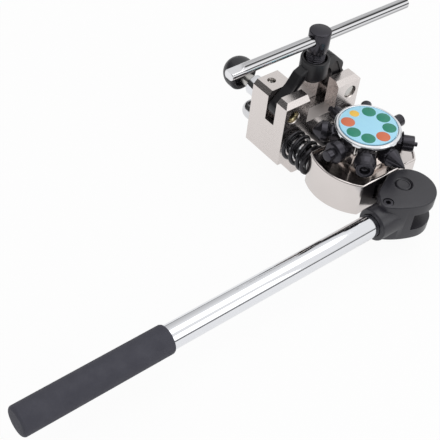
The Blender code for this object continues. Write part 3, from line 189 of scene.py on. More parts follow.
def rounded(corners, steps):
    """Polyline of (x, y, fillet) corners, each fillet an arc tangent to both its sides."""
    out = []
    pts = np.array([c[:2] for c in corners], float)
    for i, corner in enumerate(corners):
        fillet = corner[2] if len(corner) > 2 else 0
        if not fillet or i in (0, len(corners) - 1):
            out.append(pts[i])
            continue
        before = pts[i - 1] - pts[i]
        after = pts[i + 1] - pts[i]
        before = before / np.linalg.norm(before)
        after = after / np.linalg.norm(after)
        half = math.acos(float(np.clip(before @ after, -1, 1))) / 2
        start = pts[i] + before * fillet / math.tan(half)
        end = pts[i] + after * fillet / math.tan(half)
        middle = before + after
        centre = pts[i] + middle / np.linalg.norm(middle) * fillet / math.sin(half)
        s0 = start - centre
        s1 = end - centre
        sweep = math.pi - 2 * half
        t = np.linspace(0, 1, steps + 1)[:, None]
        turned = np.sin((1 - t) * sweep) * s0 + np.sin(t * sweep) * s1
        out.extend(centre + turned / math.sin(sweep))
    return np.array(out)


def closed_rounded(corners, steps):
    """The same for a closed outline, every corner with its own fillet."""
    return rounded([corners[-1], *corners, corners[0]], steps)[1:-1]


def lathe(name, profile, axis, origin, segments, hollow=False, fillet_steps=3):
    """Profile (radius, height) turned about an axis: r·cos t, r·sin t, h for t round a turn."""
    line = rounded(profile + profile[:hollow], fillet_steps)
    if hollow:
        line = line[:-1]
    t = circle(segments)
    a = line[:, :1] * np.cos(t)
    b = line[:, :1] * np.sin(t)
    h = np.broadcast_to(line[:, 1:], a.shape)
    return grid_piece(name, along(axis, origin, a, b, h), wrap_rows=hollow)


def polar(name, radius, heights, axis, origin, wrap_rows=False):
    """Solid whose radius is an array (heights, angles), closed at the axis at both ends."""
    t = circle(radius.shape[1])
    a = radius * np.cos(t)
    b = radius * np.sin(t)
    h = np.broadcast_to(np.asarray(heights, float)[:, None], a.shape)
    return grid_piece(name, along(axis, origin, a, b, h), wrap_rows=wrap_rows)


def radii(t, *parts):
    """Rows of radii for polar: a number fills a row, an array brings its own rows."""
    return np.vstack([np.full((1, t.size), p) if np.isscalar(p) else p for p in parts])


def hexagon(t, across_flats):
    """Polar radius of a hexagon: half the flats over the cosine of the angle off the flat."""
    off = (t + math.pi / 6) % (math.pi / 3) - math.pi / 6
    return across_flats / 2 / np.cos(off)


def inset_outline(outline, distance):
    """Outline moved inwards by a distance, each point along its two sides' mean normal."""
    before = np.roll(outline, 1, 0)
    after = np.roll(outline, -1, 0)
    a = outline - before
    b = after - outline
    a = a / np.linalg.norm(a, axis=1)[:, None]
    b = b / np.linalg.norm(b, axis=1)[:, None]
    normal = np.stack([-(a[:, 1] + b[:, 1]), a[:, 0] + b[:, 0]], 1)
    length = np.linalg.norm(normal, axis=1)[:, None]
    stretch = 1.0 / np.clip(length / 2, 0.5, 1.0)
    return outline + normal / length * stretch * distance


def stacked(name, rings, heights, axis, origin):
    """Closed skin through outlines of equal count, each at its own height."""
    a = np.stack([ring[:, 0] for ring in rings])
    b = np.stack([ring[:, 1] for ring in rings])
    h = np.broadcast_to(np.asarray(heights, float)[:, None], a.shape)
    return grid_piece(name, along(axis, origin, a, b, h), caps=(0, -1))


def slab(name, outline, low, high, edge, axis, origin=(0, 0, 0), steps=3):
    """Outline carried from low to high, both rims rounded by a quarter circle of radius edge."""
    q = np.linspace(0, math.pi / 2, steps + 1) if edge else np.array([math.pi / 2])
    inset = edge * (1 - np.sin(q))
    lift = edge * (1 - np.cos(q))
    insets = np.concatenate([inset, inset[::-1]])
    heights = np.concatenate([low + lift, high - lift[::-1]])
    rings = [inset_outline(outline, d) if d > 1e-9 else outline for d in insets]
    return stacked(name, rings, heights, axis, origin)


def drill(axis, origin, radius, start, end, segments=64):
    """Cylinder of one radius between two heights, for cutting."""
    profile = [(0, start), (radius, start), (radius, end), (0, end)]
    return lathe("drill", profile, axis, origin, segments)


def block_tool(low, high):
    """Box between two corners, for cutting."""
    low = np.array(low, float)
    high = np.array(high, float)
    square = ((0, 0), (1, 0), (1, 1), (0, 1))
    pick = np.array([(x, y, z) for z in (0, 1) for x, y in square])
    faces = [(0, 3, 2, 1), (4, 5, 6, 7), (0, 1, 5, 4), (1, 2, 6, 5), (2, 3, 7, 6), (3, 0, 4, 7)]
    return mesh_piece("block_tool", low + pick * (high - low), faces)


def carve(piece, cuts, joins=()):
    """Add and cut solids, then keep the result as the piece's own mesh."""
    for operation, tools in (("UNION", joins), ("DIFFERENCE", cuts)):
        for tool in tools:
            change = piece.modifiers.new("carve", "BOOLEAN")
            change.operation = operation
            change.solver = "EXACT"
            change.object = tool
    graph = bpy.context.evaluated_depsgraph_get()
    made = bpy.data.meshes.new_from_object(piece.evaluated_get(graph), depsgraph=graph)
    piece.modifiers.clear()
    body = bmesh.new()
    body.from_mesh(made)
    bmesh.ops.remove_doubles(body, verts=body.verts, dist=SAME_CUT_POINT)
    bmesh.ops.dissolve_degenerate(body, edges=body.edges, dist=SAME_CUT_POINT)
    bmesh.ops.holes_fill(body, edges=body.edges, sides=4)
    bmesh.ops.recalc_face_normals(body, faces=body.faces)
    body.to_mesh(made)
    body.free()
    piece.data = made
    for tool in list(cuts) + list(joins):
        bpy.data.objects.remove(tool, do_unlink=True)


def soften(piece, width, segments=2, angle=32.0):
    """Small round on every edge sharper than an angle."""
    edge = piece.modifiers.new("Edge", "BEVEL")
    edge.width = width * MM
    edge.segments = segments
    edge.limit_method = "ANGLE"
    edge.angle_limit = math.radians(angle)
    edge.harden_normals = True


def finish_piece(piece, body, material, nodes=(), sharp=32.0):
    """Shade, dress and hang a piece on its body, in place of the nodes that it stands for."""
    piece.data.shade_smooth()
    piece.data.set_sharp_from_angle(angle=math.radians(sharp))
    piece.data.materials.clear()
    piece.data.materials.append(material)
    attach(piece, body)
    if nodes:
        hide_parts(*nodes)


# Materials


def node(tree, kind, inputs=(), **settings):
    """Shader node; inputs pairs a socket's name or number with a value or a socket to link."""
    made = tree.nodes.new("ShaderNode" + kind)
    for key, value in settings.items():
        setattr(made, key, value)
    for key, value in dict(inputs).items():
        if isinstance(value, bpy.types.NodeSocket):
            tree.links.new(value, made.inputs[key])
        else:
            made.inputs[key].default_value = value
    return made


def calculate(tree, operation, *values):
    """Result of one operation on numbers or sockets."""
    return node(tree, "Math", enumerate(values), operation=operation).outputs[0]


def map_range(tree, value, low, high, to_low=0.0, to_high=1.0, way="SMOOTHSTEP"):
    """Value carried from one range to another, numbers or sockets alike."""
    ends = {"From Min": low, "From Max": high, "To Min": to_low, "To Max": to_high}
    return node(tree, "MapRange", {"Value": value, **ends}, interpolation_type=way).outputs[0]


def blend(tree, share, first, second):
    """Number between two numbers by a share."""
    return node(tree, "Mix", {0: share, 2: first, 3: second}, data_type="FLOAT").outputs[0]


def blend_colour(tree, share, first, second, way="MIX"):
    """Colour between two colours by a share."""
    ends = {0: share, 6: first, 7: second}
    return node(tree, "Mix", ends, data_type="RGBA", blend_type=way).outputs[2]


def surface_group():
    """Slow mottling and fine grain on Object coordinates, and a roughness from both."""
    tree = bpy.data.node_groups.new("metal_surface", "ShaderNodeTree")
    for label in ("Grain Scale", "Mottle Scale", "Low", "High"):
        tree.interface.new_socket(label, in_out="INPUT", socket_type="NodeSocketFloat")
    for label in ("Roughness", "Height", "Mottle"):
        tree.interface.new_socket(label, in_out="OUTPUT", socket_type="NodeSocketFloat")
    given = tree.nodes.new("NodeGroupInput").outputs
    place = node(tree, "TexCoord").outputs["Object"]
    noises = []
    for scale, detail, roughness in (("Grain Scale", 3.0, 0.6), ("Mottle Scale", 4.0, 0.55)):
        sockets = {"Vector": place, "Scale": given[scale], "Detail": detail, "Roughness": roughness}
        noises.append(node(tree, "TexNoise", sockets).outputs["Fac"])
    both = blend(tree, 0.6, *noises)
    rough = map_range(tree, both, 0.3, 0.7, given["Low"], given["High"], "LINEAR")
    out = tree.nodes.new("NodeGroupOutput").inputs
    for label, made in zip(("Roughness", "Height", "Mottle"), (rough, *noises)):
        tree.links.new(made, out[label])
    return tree


METAL_SURFACE = surface_group()
RELIEF_DEPTH = 0.0002


def surfaced(name, light, dark, metallic, rough, grain, mottle, bump):
    """Material that mixes two close colours by the mottling, with grain in its roughness."""
    made = bpy.data.materials.new(name)
    made.use_nodes = True
    tree = made.node_tree
    shader = tree.nodes["Principled BSDF"]
    scales = {"Grain Scale": grain, "Mottle Scale": mottle, "Low": rough[0], "High": rough[1]}
    group = node(tree, "Group", scales, node_tree=METAL_SURFACE)
    tint = blend_colour(tree, group.outputs["Mottle"], (*light, 1.0), (*dark, 1.0))
    relief = {"Distance": RELIEF_DEPTH, "Strength": bump, "Height": group.outputs["Height"]}
    shader.inputs["Metallic"].default_value = metallic
    tree.links.new(group.outputs["Roughness"], shader.inputs["Roughness"])
    tree.links.new(tint, shader.inputs["Base Color"])
    tree.links.new(node(tree, "Bump", relief).outputs["Normal"], shader.inputs["Normal"])
    return made


# Name, light and dark colour, metallic, range of roughness, scales of grain and mottling, relief
NICKEL = surfaced(
    "satin nickel", (0.78, 0.73, 0.71), (0.70, 0.65, 0.63),
    1.0, (0.22, 0.32), 700, 18, 0.015,
)
NICKEL_FINE = surfaced(
    "fine nickel", (0.78, 0.73, 0.71), (0.70, 0.65, 0.63),
    1.0, (0.12, 0.2), 700, 18, 0.015,
)
NICKEL_BRIGHT = surfaced(
    "bright nickel", (0.80, 0.76, 0.73), (0.74, 0.69, 0.65),
    1.0, (0.06, 0.12), 700, 18, 0.01,
)
CHROME = surfaced(
    "bright chrome", (0.84, 0.85, 0.88), (0.80, 0.81, 0.84),
    1.0, (0.04, 0.09), 500, 12, 0.01,
)
ROD_STEEL = surfaced(
    "ground rod steel", (0.76, 0.76, 0.78), (0.68, 0.68, 0.70),
    1.0, (0.14, 0.24), 500, 30, 0.03,
)
STEEL = surfaced(
    "turned steel", (0.62, 0.61, 0.59), (0.50, 0.49, 0.47),
    1.0, (0.2, 0.34), 700, 40, 0.05,
)
DARK_STEEL = surfaced(
    "dark drawn steel", (0.08, 0.079, 0.082), (0.05, 0.049, 0.052),
    1.0, (0.24, 0.36), 600, 30, 0.05,
)
BRASS = surfaced(
    "brass", (0.50, 0.44, 0.27), (0.38, 0.33, 0.19),
    1.0, (0.1, 0.2), 700, 60, 0.03,
)
BLACK_OXIDE = surfaced(
    "black oxide", (0.060, 0.058, 0.068), (0.036, 0.034, 0.042),
    0.75, (0.15, 0.26), 900, 60, 0.04,
)
SPRING_BLACK = surfaced(
    "black spring steel", (0.055, 0.054, 0.060), (0.035, 0.034, 0.038),
    0.75, (0.16, 0.28), 900, 60, 0.04,
)
CAST_BLACK = surfaced(
    "black cast lever", (0.032, 0.031, 0.039), (0.023, 0.022, 0.028),
    0.0, (0.3, 0.42), 1400, 40, 0.1,
)
FORGED_BLACK = surfaced(
    "black forged yoke", (0.022, 0.021, 0.024), (0.014, 0.014, 0.016),
    0.2, (0.28, 0.42), 1200, 50, 0.1,
)
RUBBER = surfaced(
    "rubber grip", (0.058, 0.058, 0.077), (0.042, 0.042, 0.057),
    0.0, (0.62, 0.85), 1700, 90, 0.5,
)
KNOB_PLASTIC = surfaced(
    "black knob plastic", (0.030, 0.031, 0.036), (0.020, 0.020, 0.024),
    0.0, (0.3, 0.42), 900, 60, 0.05,
)


def milled_floor(made, half_width, height, rough):
    """Raise a metal's roughness on the level face at one height between two side walls."""
    within = 0.3
    tree = made.node_tree
    target = tree.nodes["Principled BSDF"].inputs["Roughness"]
    place = node(tree, "TexCoord").outputs["Object"]
    split = node(tree, "SeparateXYZ", {0: place}).outputs
    off_side = calculate(tree, "ABSOLUTE", split["Y"])
    inside = calculate(tree, "LESS_THAN", off_side, half_width * MM)
    level = calculate(tree, "COMPARE", split["Z"], height * MM, within * MM)
    here = calculate(tree, "MULTIPLY", inside, level)
    tree.links.new(blend(tree, here, target.links[0].from_socket, rough), target)


milled_floor(NICKEL, CRADLE_HALF + 0.05, CRADLE_FLOOR, 0.5)


# Painted reflections along the cross bar, streaks of mirrored shade: degrees round its axis,
# and the share of its colour left there. They fade in over a stretch measured in millimetres
# from the bar's near end.
BAR_PAINTED_REFLECTIONS = [
    *((-150, 0.4), (-125, 0.95), (-60, 0.9), (-35, 0.5), (-10, 0.38), (6, 0.9), (14, 0.9)),
    *((21, 0.22), (27, 0.22), (35, 1.0), (49, 1.0), (55, 0.1), (60, 0.03), (66, 0.05)),
    *((73, 0.42), (84, 0.66), (98, 0.7), (112, 1.0), (145, 0.5)),
]
# Share of colour left at both ends of the ramp of painted reflections
PAINTED_REFLECTION_ENDS = 0.9
PAINTED_REFLECTIONS_FADE = (10.0, 15.0)


def painted_reflection_chrome(axis_x, axis_z, start):
    """Chrome bar with reflections painted in as dark streaks round its axis, none on its flat end.
    """
    made = surfaced(
        "chrome with painted reflections", (0.86, 0.86, 0.88), (0.82, 0.82, 0.84),
        1.0, (0.05, 0.1), 500, 12, 0.01,
    )
    tree = made.node_tree
    target = tree.nodes["Principled BSDF"].inputs["Base Color"]
    place = node(tree, "TexCoord").outputs["Object"]
    middle = (axis_x * MM, 0.0, axis_z * MM)
    centred = node(tree, "VectorMath", {0: place, 1: middle}, operation="SUBTRACT").outputs[0]
    split = node(tree, "SeparateXYZ", {0: centred}).outputs
    angle = calculate(tree, "ARCTAN2", split["Z"], split["X"])
    turn = map_range(tree, angle, -math.pi, math.pi, way="LINEAR")
    # The ramp paints mirrored light and shade into the chrome's colour by the angle round the bar
    ramp = node(tree, "ValToRGB", {"Fac": turn})
    stops = ramp.color_ramp.elements
    for degrees, shade in BAR_PAINTED_REFLECTIONS:
        stops.new(0.5 + degrees / 360.0).color = (shade, shade, shade, 1.0)
    for stop in (stops[0], stops[len(stops) - 1]):
        stop.color = (PAINTED_REFLECTION_ENDS, PAINTED_REFLECTION_ENDS, PAINTED_REFLECTION_ENDS, 1.0)
    reach = map_range(tree, split["Y"], *((start + f) * MM for f in PAINTED_REFLECTIONS_FADE))
    plain = target.links[0].from_socket
    tree.links.new(blend_colour(tree, reach, plain, ramp.outputs["Color"], "MULTIPLY"), target)
    return made


def enamel(name, colour):
    """Printed enamel of one ink, a little uneven in strength."""
    paler = tuple(min(1.0, c * 1.06 + 0.01) for c in colour)
    return surfaced(name, paler, colour, 0.0, (0.28, 0.4), 1500, 140, 0.02)


LABEL_BLUE = enamel("dial face blue", (0.40, 0.76, 0.98))
DOT_GREEN = enamel("dot green", (0.008, 0.240, 0.150))
DOT_ORANGE = enamel("dot orange", (0.69, 0.165, 0.068))
DOT_YELLOW = enamel("dot yellow", (0.92, 0.56, 0.08))


# Clamp block


def block_outline():
    """Section of the block in (y, z): tongue, root fillets, chamfered arms and cradle."""
    side = [
        (25.5, 0, 5.5),
        (25.5, BLOCK_BOTTOM, 9.0),
        (41.8, BLOCK_BOTTOM, 0),
        (41.8, 77.4, 0),
        (38.0, BLOCK_TOP, 0),
        (CRADLE_HALF, BLOCK_TOP, 0),
        (CRADLE_HALF, CRADLE_FLOOR, 0),
    ]
    mirrored = [(-y, z, f) for y, z, f in reversed(side)]
    return closed_rounded(side + mirrored, 5)


def make_clamp_block():
    """Section carried along X, then slots, bores and the front chamfer cut with true tools."""
    piece = slab("block_body", block_outline(), BLOCK_BACK, BLOCK_FRONT, 0, "+X")
    far, past = 60.0, 30
    cuts = [block_tool((YOKE_X - 5.3, -far, 53.7), (YOKE_X + 5.3, far, 99.0))]
    chamfer = [(85.3, BLOCK_FRONT - 8.2), (73.0, BLOCK_FRONT + 4.1), (85.3, BLOCK_FRONT + 4.1)]
    cuts.append(slab("wedge", np.array(chamfer), -far, far, 0, "+Y"))
    wider = PIN_BORE + 0.8
    bore = [(0, -past), (PIN_BORE, -past), (PIN_BORE, 20.6), (wider, 21.4), (wider, past)]
    bore.append((0, past))
    for side in (-1, 1):
        cuts.append(drill("+X", (0, side * ROD_Y, ROD_Z), 9.3, -past, past))
        cuts.append(lathe("bore", bore, "+X", (0, side * PIN_Y, PIN_Z), 64))
    cuts.append(drill("+X", BAR_LINE, BAR_BORE, -past, past))
    cuts.append(drill("+Z", DRAG_SCREW_LINE, 3.7, 68, 90))
    carve(piece, cuts)
    soften(piece, 0.42)
    finish_piece(piece, "block", NICKEL, ("clamp_block",))


make_clamp_block()


def make_drag_screw():
    """Headless screw: cylinder with a rounded rim and a driver slot across its top."""
    low, high, slot_half, slot_depth = 76.7, 78.9, 0.55, 1.2
    profile = [(0, low), (3.2, low, 0.3), (3.2, high, 0.4), (0, high)]
    piece = lathe("drag_screw", profile, "+Z", DRAG_SCREW_LINE, 48)
    x, y, _ = DRAG_SCREW_LINE
    bottom = (x - slot_half, y - 20, high - slot_depth)
    carve(piece, [block_tool(bottom, (x + slot_half, y + 20, high + 5))])
    finish_piece(piece, "block", STEEL, ("lock_drag_screw",))


make_drag_screw()


def make_pins():
    """Far hinge pin, the brass seat with a ring round its drilled centre, and the bush."""
    profile = [(0, -19.7), (PIN_RADIUS, -19.7, 0.5), (PIN_RADIUS, 19.7, 0.6), (0, 19.7)]
    pin = lathe("yoke_hinge_pin", profile, "+X", HINGE_LINE, 64)
    finish_piece(pin, "block", STEEL, ("yoke_pivot_pin",))
    ring = [(3.6, 19.7, 0.2), (3.2, 18.6, 0.2), (0, 18.9)]
    profile = [(0, 16.7), (PIN_RADIUS, 16.7, 0.3), (PIN_RADIUS, 19.4, 0.5), *ring]
    seat = lathe("pin_seat", profile, "+X", LOCK_LINE, 64)
    finish_piece(seat, "block", BRASS, ("lock_pin_seat",))
    profile = [(PIN_BORE, -21.5), (9.0, -21.5, 0.3), (9.0, -31.2, 1.0), (PIN_BORE, -31.2, 0.5)]
    bush = lathe("pin_bush", profile, "+X", LOCK_LINE, 72, hollow=True)
    finish_piece(bush, "block", CHROME, ("lock_pin_bush",))


make_pins()


def thread_heights(start, end, step):
    """Even heights between two ends, about one step apart."""
    return np.linspace(start, end, max(3, int(round(abs(end - start) / step)) + 1))


def thread_radius(t, h, radius, pitch, depth):
    """Screw thread: the radius falls by depth on a triangle wave of h / pitch minus the turn.

    The wave is drawn too high and clipped, so that crests and roots are flat.
    """
    height, flat = 1.6, 0.3
    phase = (h[:, None] / pitch - t[None, :] / TAU) % 1.0
    return radius - depth * np.clip(height * np.abs(2 * phase - 1) - flat, 0, 1)


def make_draw_bar():
    """Bar with a threaded back end, and its eye as a rounded slab round the pivot's hole."""
    tail = -36.4
    t = circle(64)
    rear = thread_heights(-35.6, -21.0, 0.25)
    taper = np.clip((rear - tail) / 1.2, 0.55, 1.0)[:, None]
    threaded = thread_radius(t, rear, BAR_RADIUS, 1.75, 0.8) * taper
    heights = np.concatenate([[tail], rear, [-20.6, 108.0, 108.0]])
    radius = radii(t, 0, threaded, BAR_RADIUS, BAR_RADIUS, 0)
    piece = polar("tie_bar", radius, heights, "+X", BAR_LINE)
    neck_angle = 0.83
    eye = arc((PIVOT_X, 0), 9.5, np.linspace(neck_angle - math.pi, math.pi - neck_angle, 72))
    outline = np.vstack([[(105.5, 7.0), (105.5, -7.0)], eye])
    eye_slab = slab("eye", outline, -7.8, 7.8, 0.6, "+Z", BAR_LINE)
    carve(piece, [drill("+Z", (PIVOT_X, 0, BAR_Z), PIVOT_BORE, -20, 20)], [eye_slab])
    finish_piece(piece, "block", DARK_STEEL, ("draw_bar",))


make_draw_bar()


def make_bar_nut():
    """Hexagon nut: the lesser of the hexagon and two 30 degree cones; and its washer."""
    back, front, flats, corner_cut, slope = -34.8, -23.8, 22.0, 0.2, 1.9
    t = circle(96)
    h = np.array([back, back, -34.3, -33.6, -29.3, -24.9, -24.2, front, front])
    cones = (flats / 2 - corner_cut + np.minimum(h - back, front - h) * slope)[:, None]
    radius = np.minimum(hexagon(t, flats)[None, :], cones)
    radius[[0, -1]] = BAR_BORE
    piece = polar("bar_nut", radius, h, "+X", BAR_LINE, wrap_rows=True)
    finish_piece(piece, "block", STEEL, ("draw_bar_nut",))
    profile = [(BAR_BORE, -23.5), (12.5, -23.5, 0.4), (12.5, -21.5, 0.2), (BAR_BORE, -21.5, 0.1)]
    washer = lathe("bar_washer", profile, "+X", BAR_LINE, 72, hollow=True)
    finish_piece(washer, "block", STEEL, ("draw_bar_washer",))


make_bar_nut()


# Return springs and guide rods; the places along X where the springs' ends are ground flat
SPRING_START = 21.5
SPRING_END = 50.9


def make_spring(name, side, nodes):
    """Wire swept along a coil whose pitch eases at both ends, ground flat there.

    The centre line is (x(t), R cos t, R sin t); each ring is perpendicular to its tangent.
    """
    wire_radius, coil_radius, ease = 1.9, 11.85, 20
    turns = np.array([0.0, 0.5, 2.5, 3.5, 3.75])
    places = np.array([23.4, 25.1, 42.7, 48.0, 49.0])
    t = np.linspace(0, turns[-1], 360)
    padded = np.pad(np.interp(t, turns, places), ease, "edge")
    kernel = np.hanning(2 * ease + 1)
    x = np.convolve(padded, kernel / kernel.sum(), "valid")
    angle = t * TAU
    centre = np.stack([x, coil_radius * np.cos(angle), coil_radius * np.sin(angle)], 1)
    tangent = np.gradient(centre, axis=0)
    tangent /= np.linalg.norm(tangent, axis=1)[:, None]
    out = np.stack([np.zeros_like(x), np.cos(angle), np.sin(angle)], 1)
    side_way = np.cross(tangent, out)
    ring = circle(24)[None, :, None]
    points = (
        centre[:, None]
        + wire_radius * np.cos(ring) * out[:, None]
        + wire_radius * np.sin(ring) * side_way[:, None]
    )
    points[..., 0] = np.clip(points[..., 0], SPRING_START, SPRING_END)
    points += np.array([0, side * ROD_Y, ROD_Z])
    piece = grid_piece(name, points, caps=(0, -1))
    finish_piece(piece, "block", SPRING_BLACK, nodes, 50.0)
    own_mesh(piece)


make_spring("spring_near", -1, ("return_spring_near",))
make_spring("spring_far", 1, ("return_spring_far",))


def make_rod(name, side, nodes):
    """Ground rod with a domed tail and a spigot that enters the base."""
    profile = [
        (0, -38.5),
        (ROD_RADIUS, -38.5, 8.6),
        (ROD_RADIUS, SPRING_END, 0.3),
        (SPIGOT_RADIUS, SPRING_END),
        (SPIGOT_RADIUS, 69.1, 0.5),
        (0, 69.1),
    ]
    piece = lathe(name, profile, "+X", (0, side * ROD_Y, ROD_Z), 96, fillet_steps=12)
    finish_piece(piece, "carriage", ROD_STEEL, nodes)


make_rod("rod_near", -1, ("guide_rod_near",))
make_rod("rod_far", 1, ("guide_rod_far",))


# Carriage base


def base_outline(inset):
    """Circle with a flat and small corner fillets at the back, and a flat in front."""
    radius = BASE_RADIUS - inset
    front = BASE_FRONT - BASE_X - inset
    back = BASE_X - BASE_BACK - inset
    fillet = 2.5
    fx = fillet - back
    fy = math.sqrt((radius - fillet) ** 2 - fx**2)
    start = math.acos(front / radius)
    meet = math.atan2(fy, fx)
    wall = arc((0, 0), radius, np.linspace(start, meet, 72))
    corner = arc((fx, fy), fillet, np.linspace(meet, math.pi, 9)[1:])
    upper = np.vstack([wall, corner])
    lower = upper[::-1] * np.array([1, -1])
    return np.vstack([upper, lower])


def make_base():
    """Outline carried up the wall, over the rim and down to the sunk floor, as one surface."""
    rim_round = 1.2
    way = np.radians(np.arange(0, 91, 15))
    rim = np.stack([rim_round * (1 - np.cos(way)), BASE_TOP - rim_round * (1 - np.sin(way))], 1)
    stations = [
        (0.9, BASE_BOTTOM),
        (0.45, BASE_BOTTOM + 0.12),
        (0.12, BASE_BOTTOM + 0.45),
        (0.0, BASE_BOTTOM + 0.9),
        *rim,
        (1.5, BASE_TOP),
        (1.65, BASE_TOP - 0.1),
        (1.72, BASE_TOP - 0.4),
        (1.75, BASE_FLOOR + 0.7),
        (1.95, BASE_FLOOR + 0.2),
        (2.5, BASE_FLOOR),
    ]
    rings = [base_outline(d) for d, _ in stations]
    piece = stacked("carriage_base", rings, [h for _, h in stations], "+Z", TURRET_LINE)
    cuts = [drill("+X", (0, side * ROD_Y, ROD_Z), 6.3, 40, 69.4) for side in (-1, 1)]
    cuts.append(drill("+X", BAR_LINE, BAR_BORE, 40, 120))
    cuts.append(drill("+Z", TURRET_LINE, SPINDLE_BORE, 46.2, 60))
    cuts.append(drill("+Z", (BASE_X, 13.5, 0), 2.7, 42.5, 60, 32))
    carve(piece, cuts)
    finish_piece(piece, "carriage", NICKEL_FINE, ("turret_base",), 28.0)


make_base()


# Turret


def make_turret_body():
    """Octagon with chamfered rims and eased corners, on a round foot."""
    half_flats, ease = 21.0, 1.4
    ways = np.radians(22.5 + 45.0 * np.arange(8))
    corner = half_flats / math.cos(math.pi / 8)
    corners = [(corner * math.cos(w), corner * math.sin(w), ease) for w in ways]
    outline = closed_rounded(corners, 4)
    rims = [(1.0, 55.0), (0.0, 56.0), (0.0, 76.0), (0.15, 76.4), (0.6, TURRET_TOP)]
    rings = [inset_outline(outline, d) if d else outline for d, _ in rims]
    piece = stacked("turret_hub", rings, [h for _, h in rims], "+Z", TURRET_LINE)
    foot = [(0, 52.5), (19.2, 52.5, 0.4), (19.2, 55.8), (0, 55.8)]
    joins = [lathe("foot", foot, "+Z", TURRET_LINE, 72)]
    well = [(0, 40), (SPINDLE_BORE, 40), (SPINDLE_BORE, 73.4), (10.8, 73.4), (10.8, 90), (0, 90)]
    cuts = [lathe("well", well, "+Z", TURRET_LINE, 64)]
    for k in range(8):
        cuts.append(drill(45.0 * k, (BASE_X, 0, PUNCH_Z), 4.3, 13.7, 30, 32))
    carve(piece, cuts, joins)
    finish_piece(piece, "turret", NICKEL_BRIGHT, ("turret_body",))


make_turret_body()


def make_dial():
    """Bezel with a rounded rim round the sunk face, and eight inlaid ink dots."""
    profile = [
        (0, 77.0),
        (26.6, 77.0, 0.3),
        (27.2, 77.8, 0.5),
        (27.2, 79.9, 0.9),
        (26.0, 80.9, 0.5),
        (24.7, 80.9, 0.3),
        (24.3, 80.0, 0.1),
        (0, 80.0),
    ]
    piece = lathe("dial_ring", profile, "+Z", TURRET_LINE, 144)
    finish_piece(piece, "turret", CHROME, ("dial_bezel",))
    profile = [(0, 80.3), (23.6, 80.3), (23.6, 81.28, 0.2), (0, 81.28)]
    face = lathe("dial_face", profile, "+Z", TURRET_LINE, 144)
    finish_piece(face, "turret", LABEL_BLUE, ("dial_label",))
    dot_ring, t = 16.7, circle(48)
    inks = {
        "dots_green": (DOT_GREEN, (135, 90, 45, -45, -90), 5.75),
        "dots_orange": (DOT_ORANGE, (0, -135), 5.75),
        "dots_yellow": (DOT_YELLOW, (180,), 4.0),
    }
    for name, (ink, angles, radius) in inks.items():
        rings = [(0, 81.1), (radius, 81.1), (radius, 81.36), (radius - 0.08, 81.4), (0, 81.4)]
        r, h = np.array(rings).T[:, :, None]
        points = []
        faces = []
        for k, way in enumerate(np.radians(angles)):
            centre = (BASE_X + dot_ring * math.cos(way), dot_ring * math.sin(way), 0)
            dot = along("+Z", centre, r * np.cos(t), r * np.sin(t), h + 0 * t)
            points.append(dot.reshape(-1, 3))
            faces.append(grid_faces(len(rings), t.size) + k * len(points[0]))
        dots = mesh_piece(name, np.vstack(points), np.vstack(faces).tolist())
        finish_piece(dots, "turret", ink)


make_dial()


# Punches. Each list runs (radius, distance from the hub's axis, fillet) from collar to tip.
HEX_FLATS = 14.0
PUNCH_SHAPES = {
    1: [(7.2, 29.0, 0.2), (7.9, 29.4, 0.3), (7.9, 30.2, 0.3), (0.5, 44.4, 0.3), (0, 44.7)],
    2: [
        (5.2, 28.4, 0.2),
        (6.6, 28.8, 0.3),
        (6.6, 38.9, 0.5),
        (1.8, 39.2, 0.2),
        (1.8, 42.0, 0.3),
        (0, 42.2),
    ],
    3: [(4.6, 28.6, 0.2), (5.2, 29.2, 0.3), (5.2, 41.0, 0.8), (0, 41.4)],
    4: [(4.2, 28.6, 0.2), (4.6, 29.2, 0.3), (4.6, 42.4, 0.8), (0, 43.2)],
    5: [
        (5.4, 28.6, 0.2),
        (6.0, 29.2, 0.3),
        (6.0, 37.0, 0.4),
        (2.6, 38.9, 0.3),
        (2.6, 42.8, 0.6),
        (0, 43.0),
    ],
    6: [(6.4, 29.0, 0.3), (8.8, 32.0, 0.6), (8.8, 36.6, 0.8), (2.4, 42.9, 1.0), (0, 43.2)],
    7: [
        (7.0, 29.1, 0.2),
        (9.2, 30.3, 0.8),
        (9.2, 36.3, 0.9),
        (7.5, 37.3, 0.3),
        (4.6, 37.5, 0.4),
        (4.6, 43.5, 0.7),
        (0, 43.5),
    ],
    8: [
        (6.0, 29.3, 0.2),
        (9.0, 29.8, 0.6),
        (9.0, 34.1, 0.8),
        (7.4, 38.0, 0.6),
        (7.4, 41.0, 0.7),
        (4.2, 41.0, 0.4),
        (4.2, 36.8, 0.4),
        (0, 32.7),
    ],
}


def make_punch(number):
    """Hexagon collar, the lesser of hexagon and cones, that runs into a turned nose."""
    t = circle(96)
    places = [13.9, 13.9, 14.1, 21.3, 21.3, 21.6, 22.2, 25.0, 27.8, 28.4, 28.7]
    limits = np.array([0, 3.7, 4.0, 4.0, 6.9, 7.3, 8.0, 9.0, 8.0, 7.3, 6.9])[:, None]
    collar = np.minimum(hexagon(t, HEX_FLATS)[None, :], limits)
    nose = rounded([(limits[-1, 0], places[-1])] + PUNCH_SHAPES[number], 4)
    radius = radii(t, collar, *nose[:, 0])
    heights = np.concatenate([places, nose[:, 1]])
    way = 45.0 * (number - 1)
    piece = polar("punch_tool_%d" % number, radius, heights, way, (BASE_X, 0, PUNCH_Z))
    finish_piece(piece, "turret", BLACK_OXIDE, ("punch_%d" % number,), 25.0)


for punch_number in PUNCH_SHAPES:
    make_punch(punch_number)


# Lever


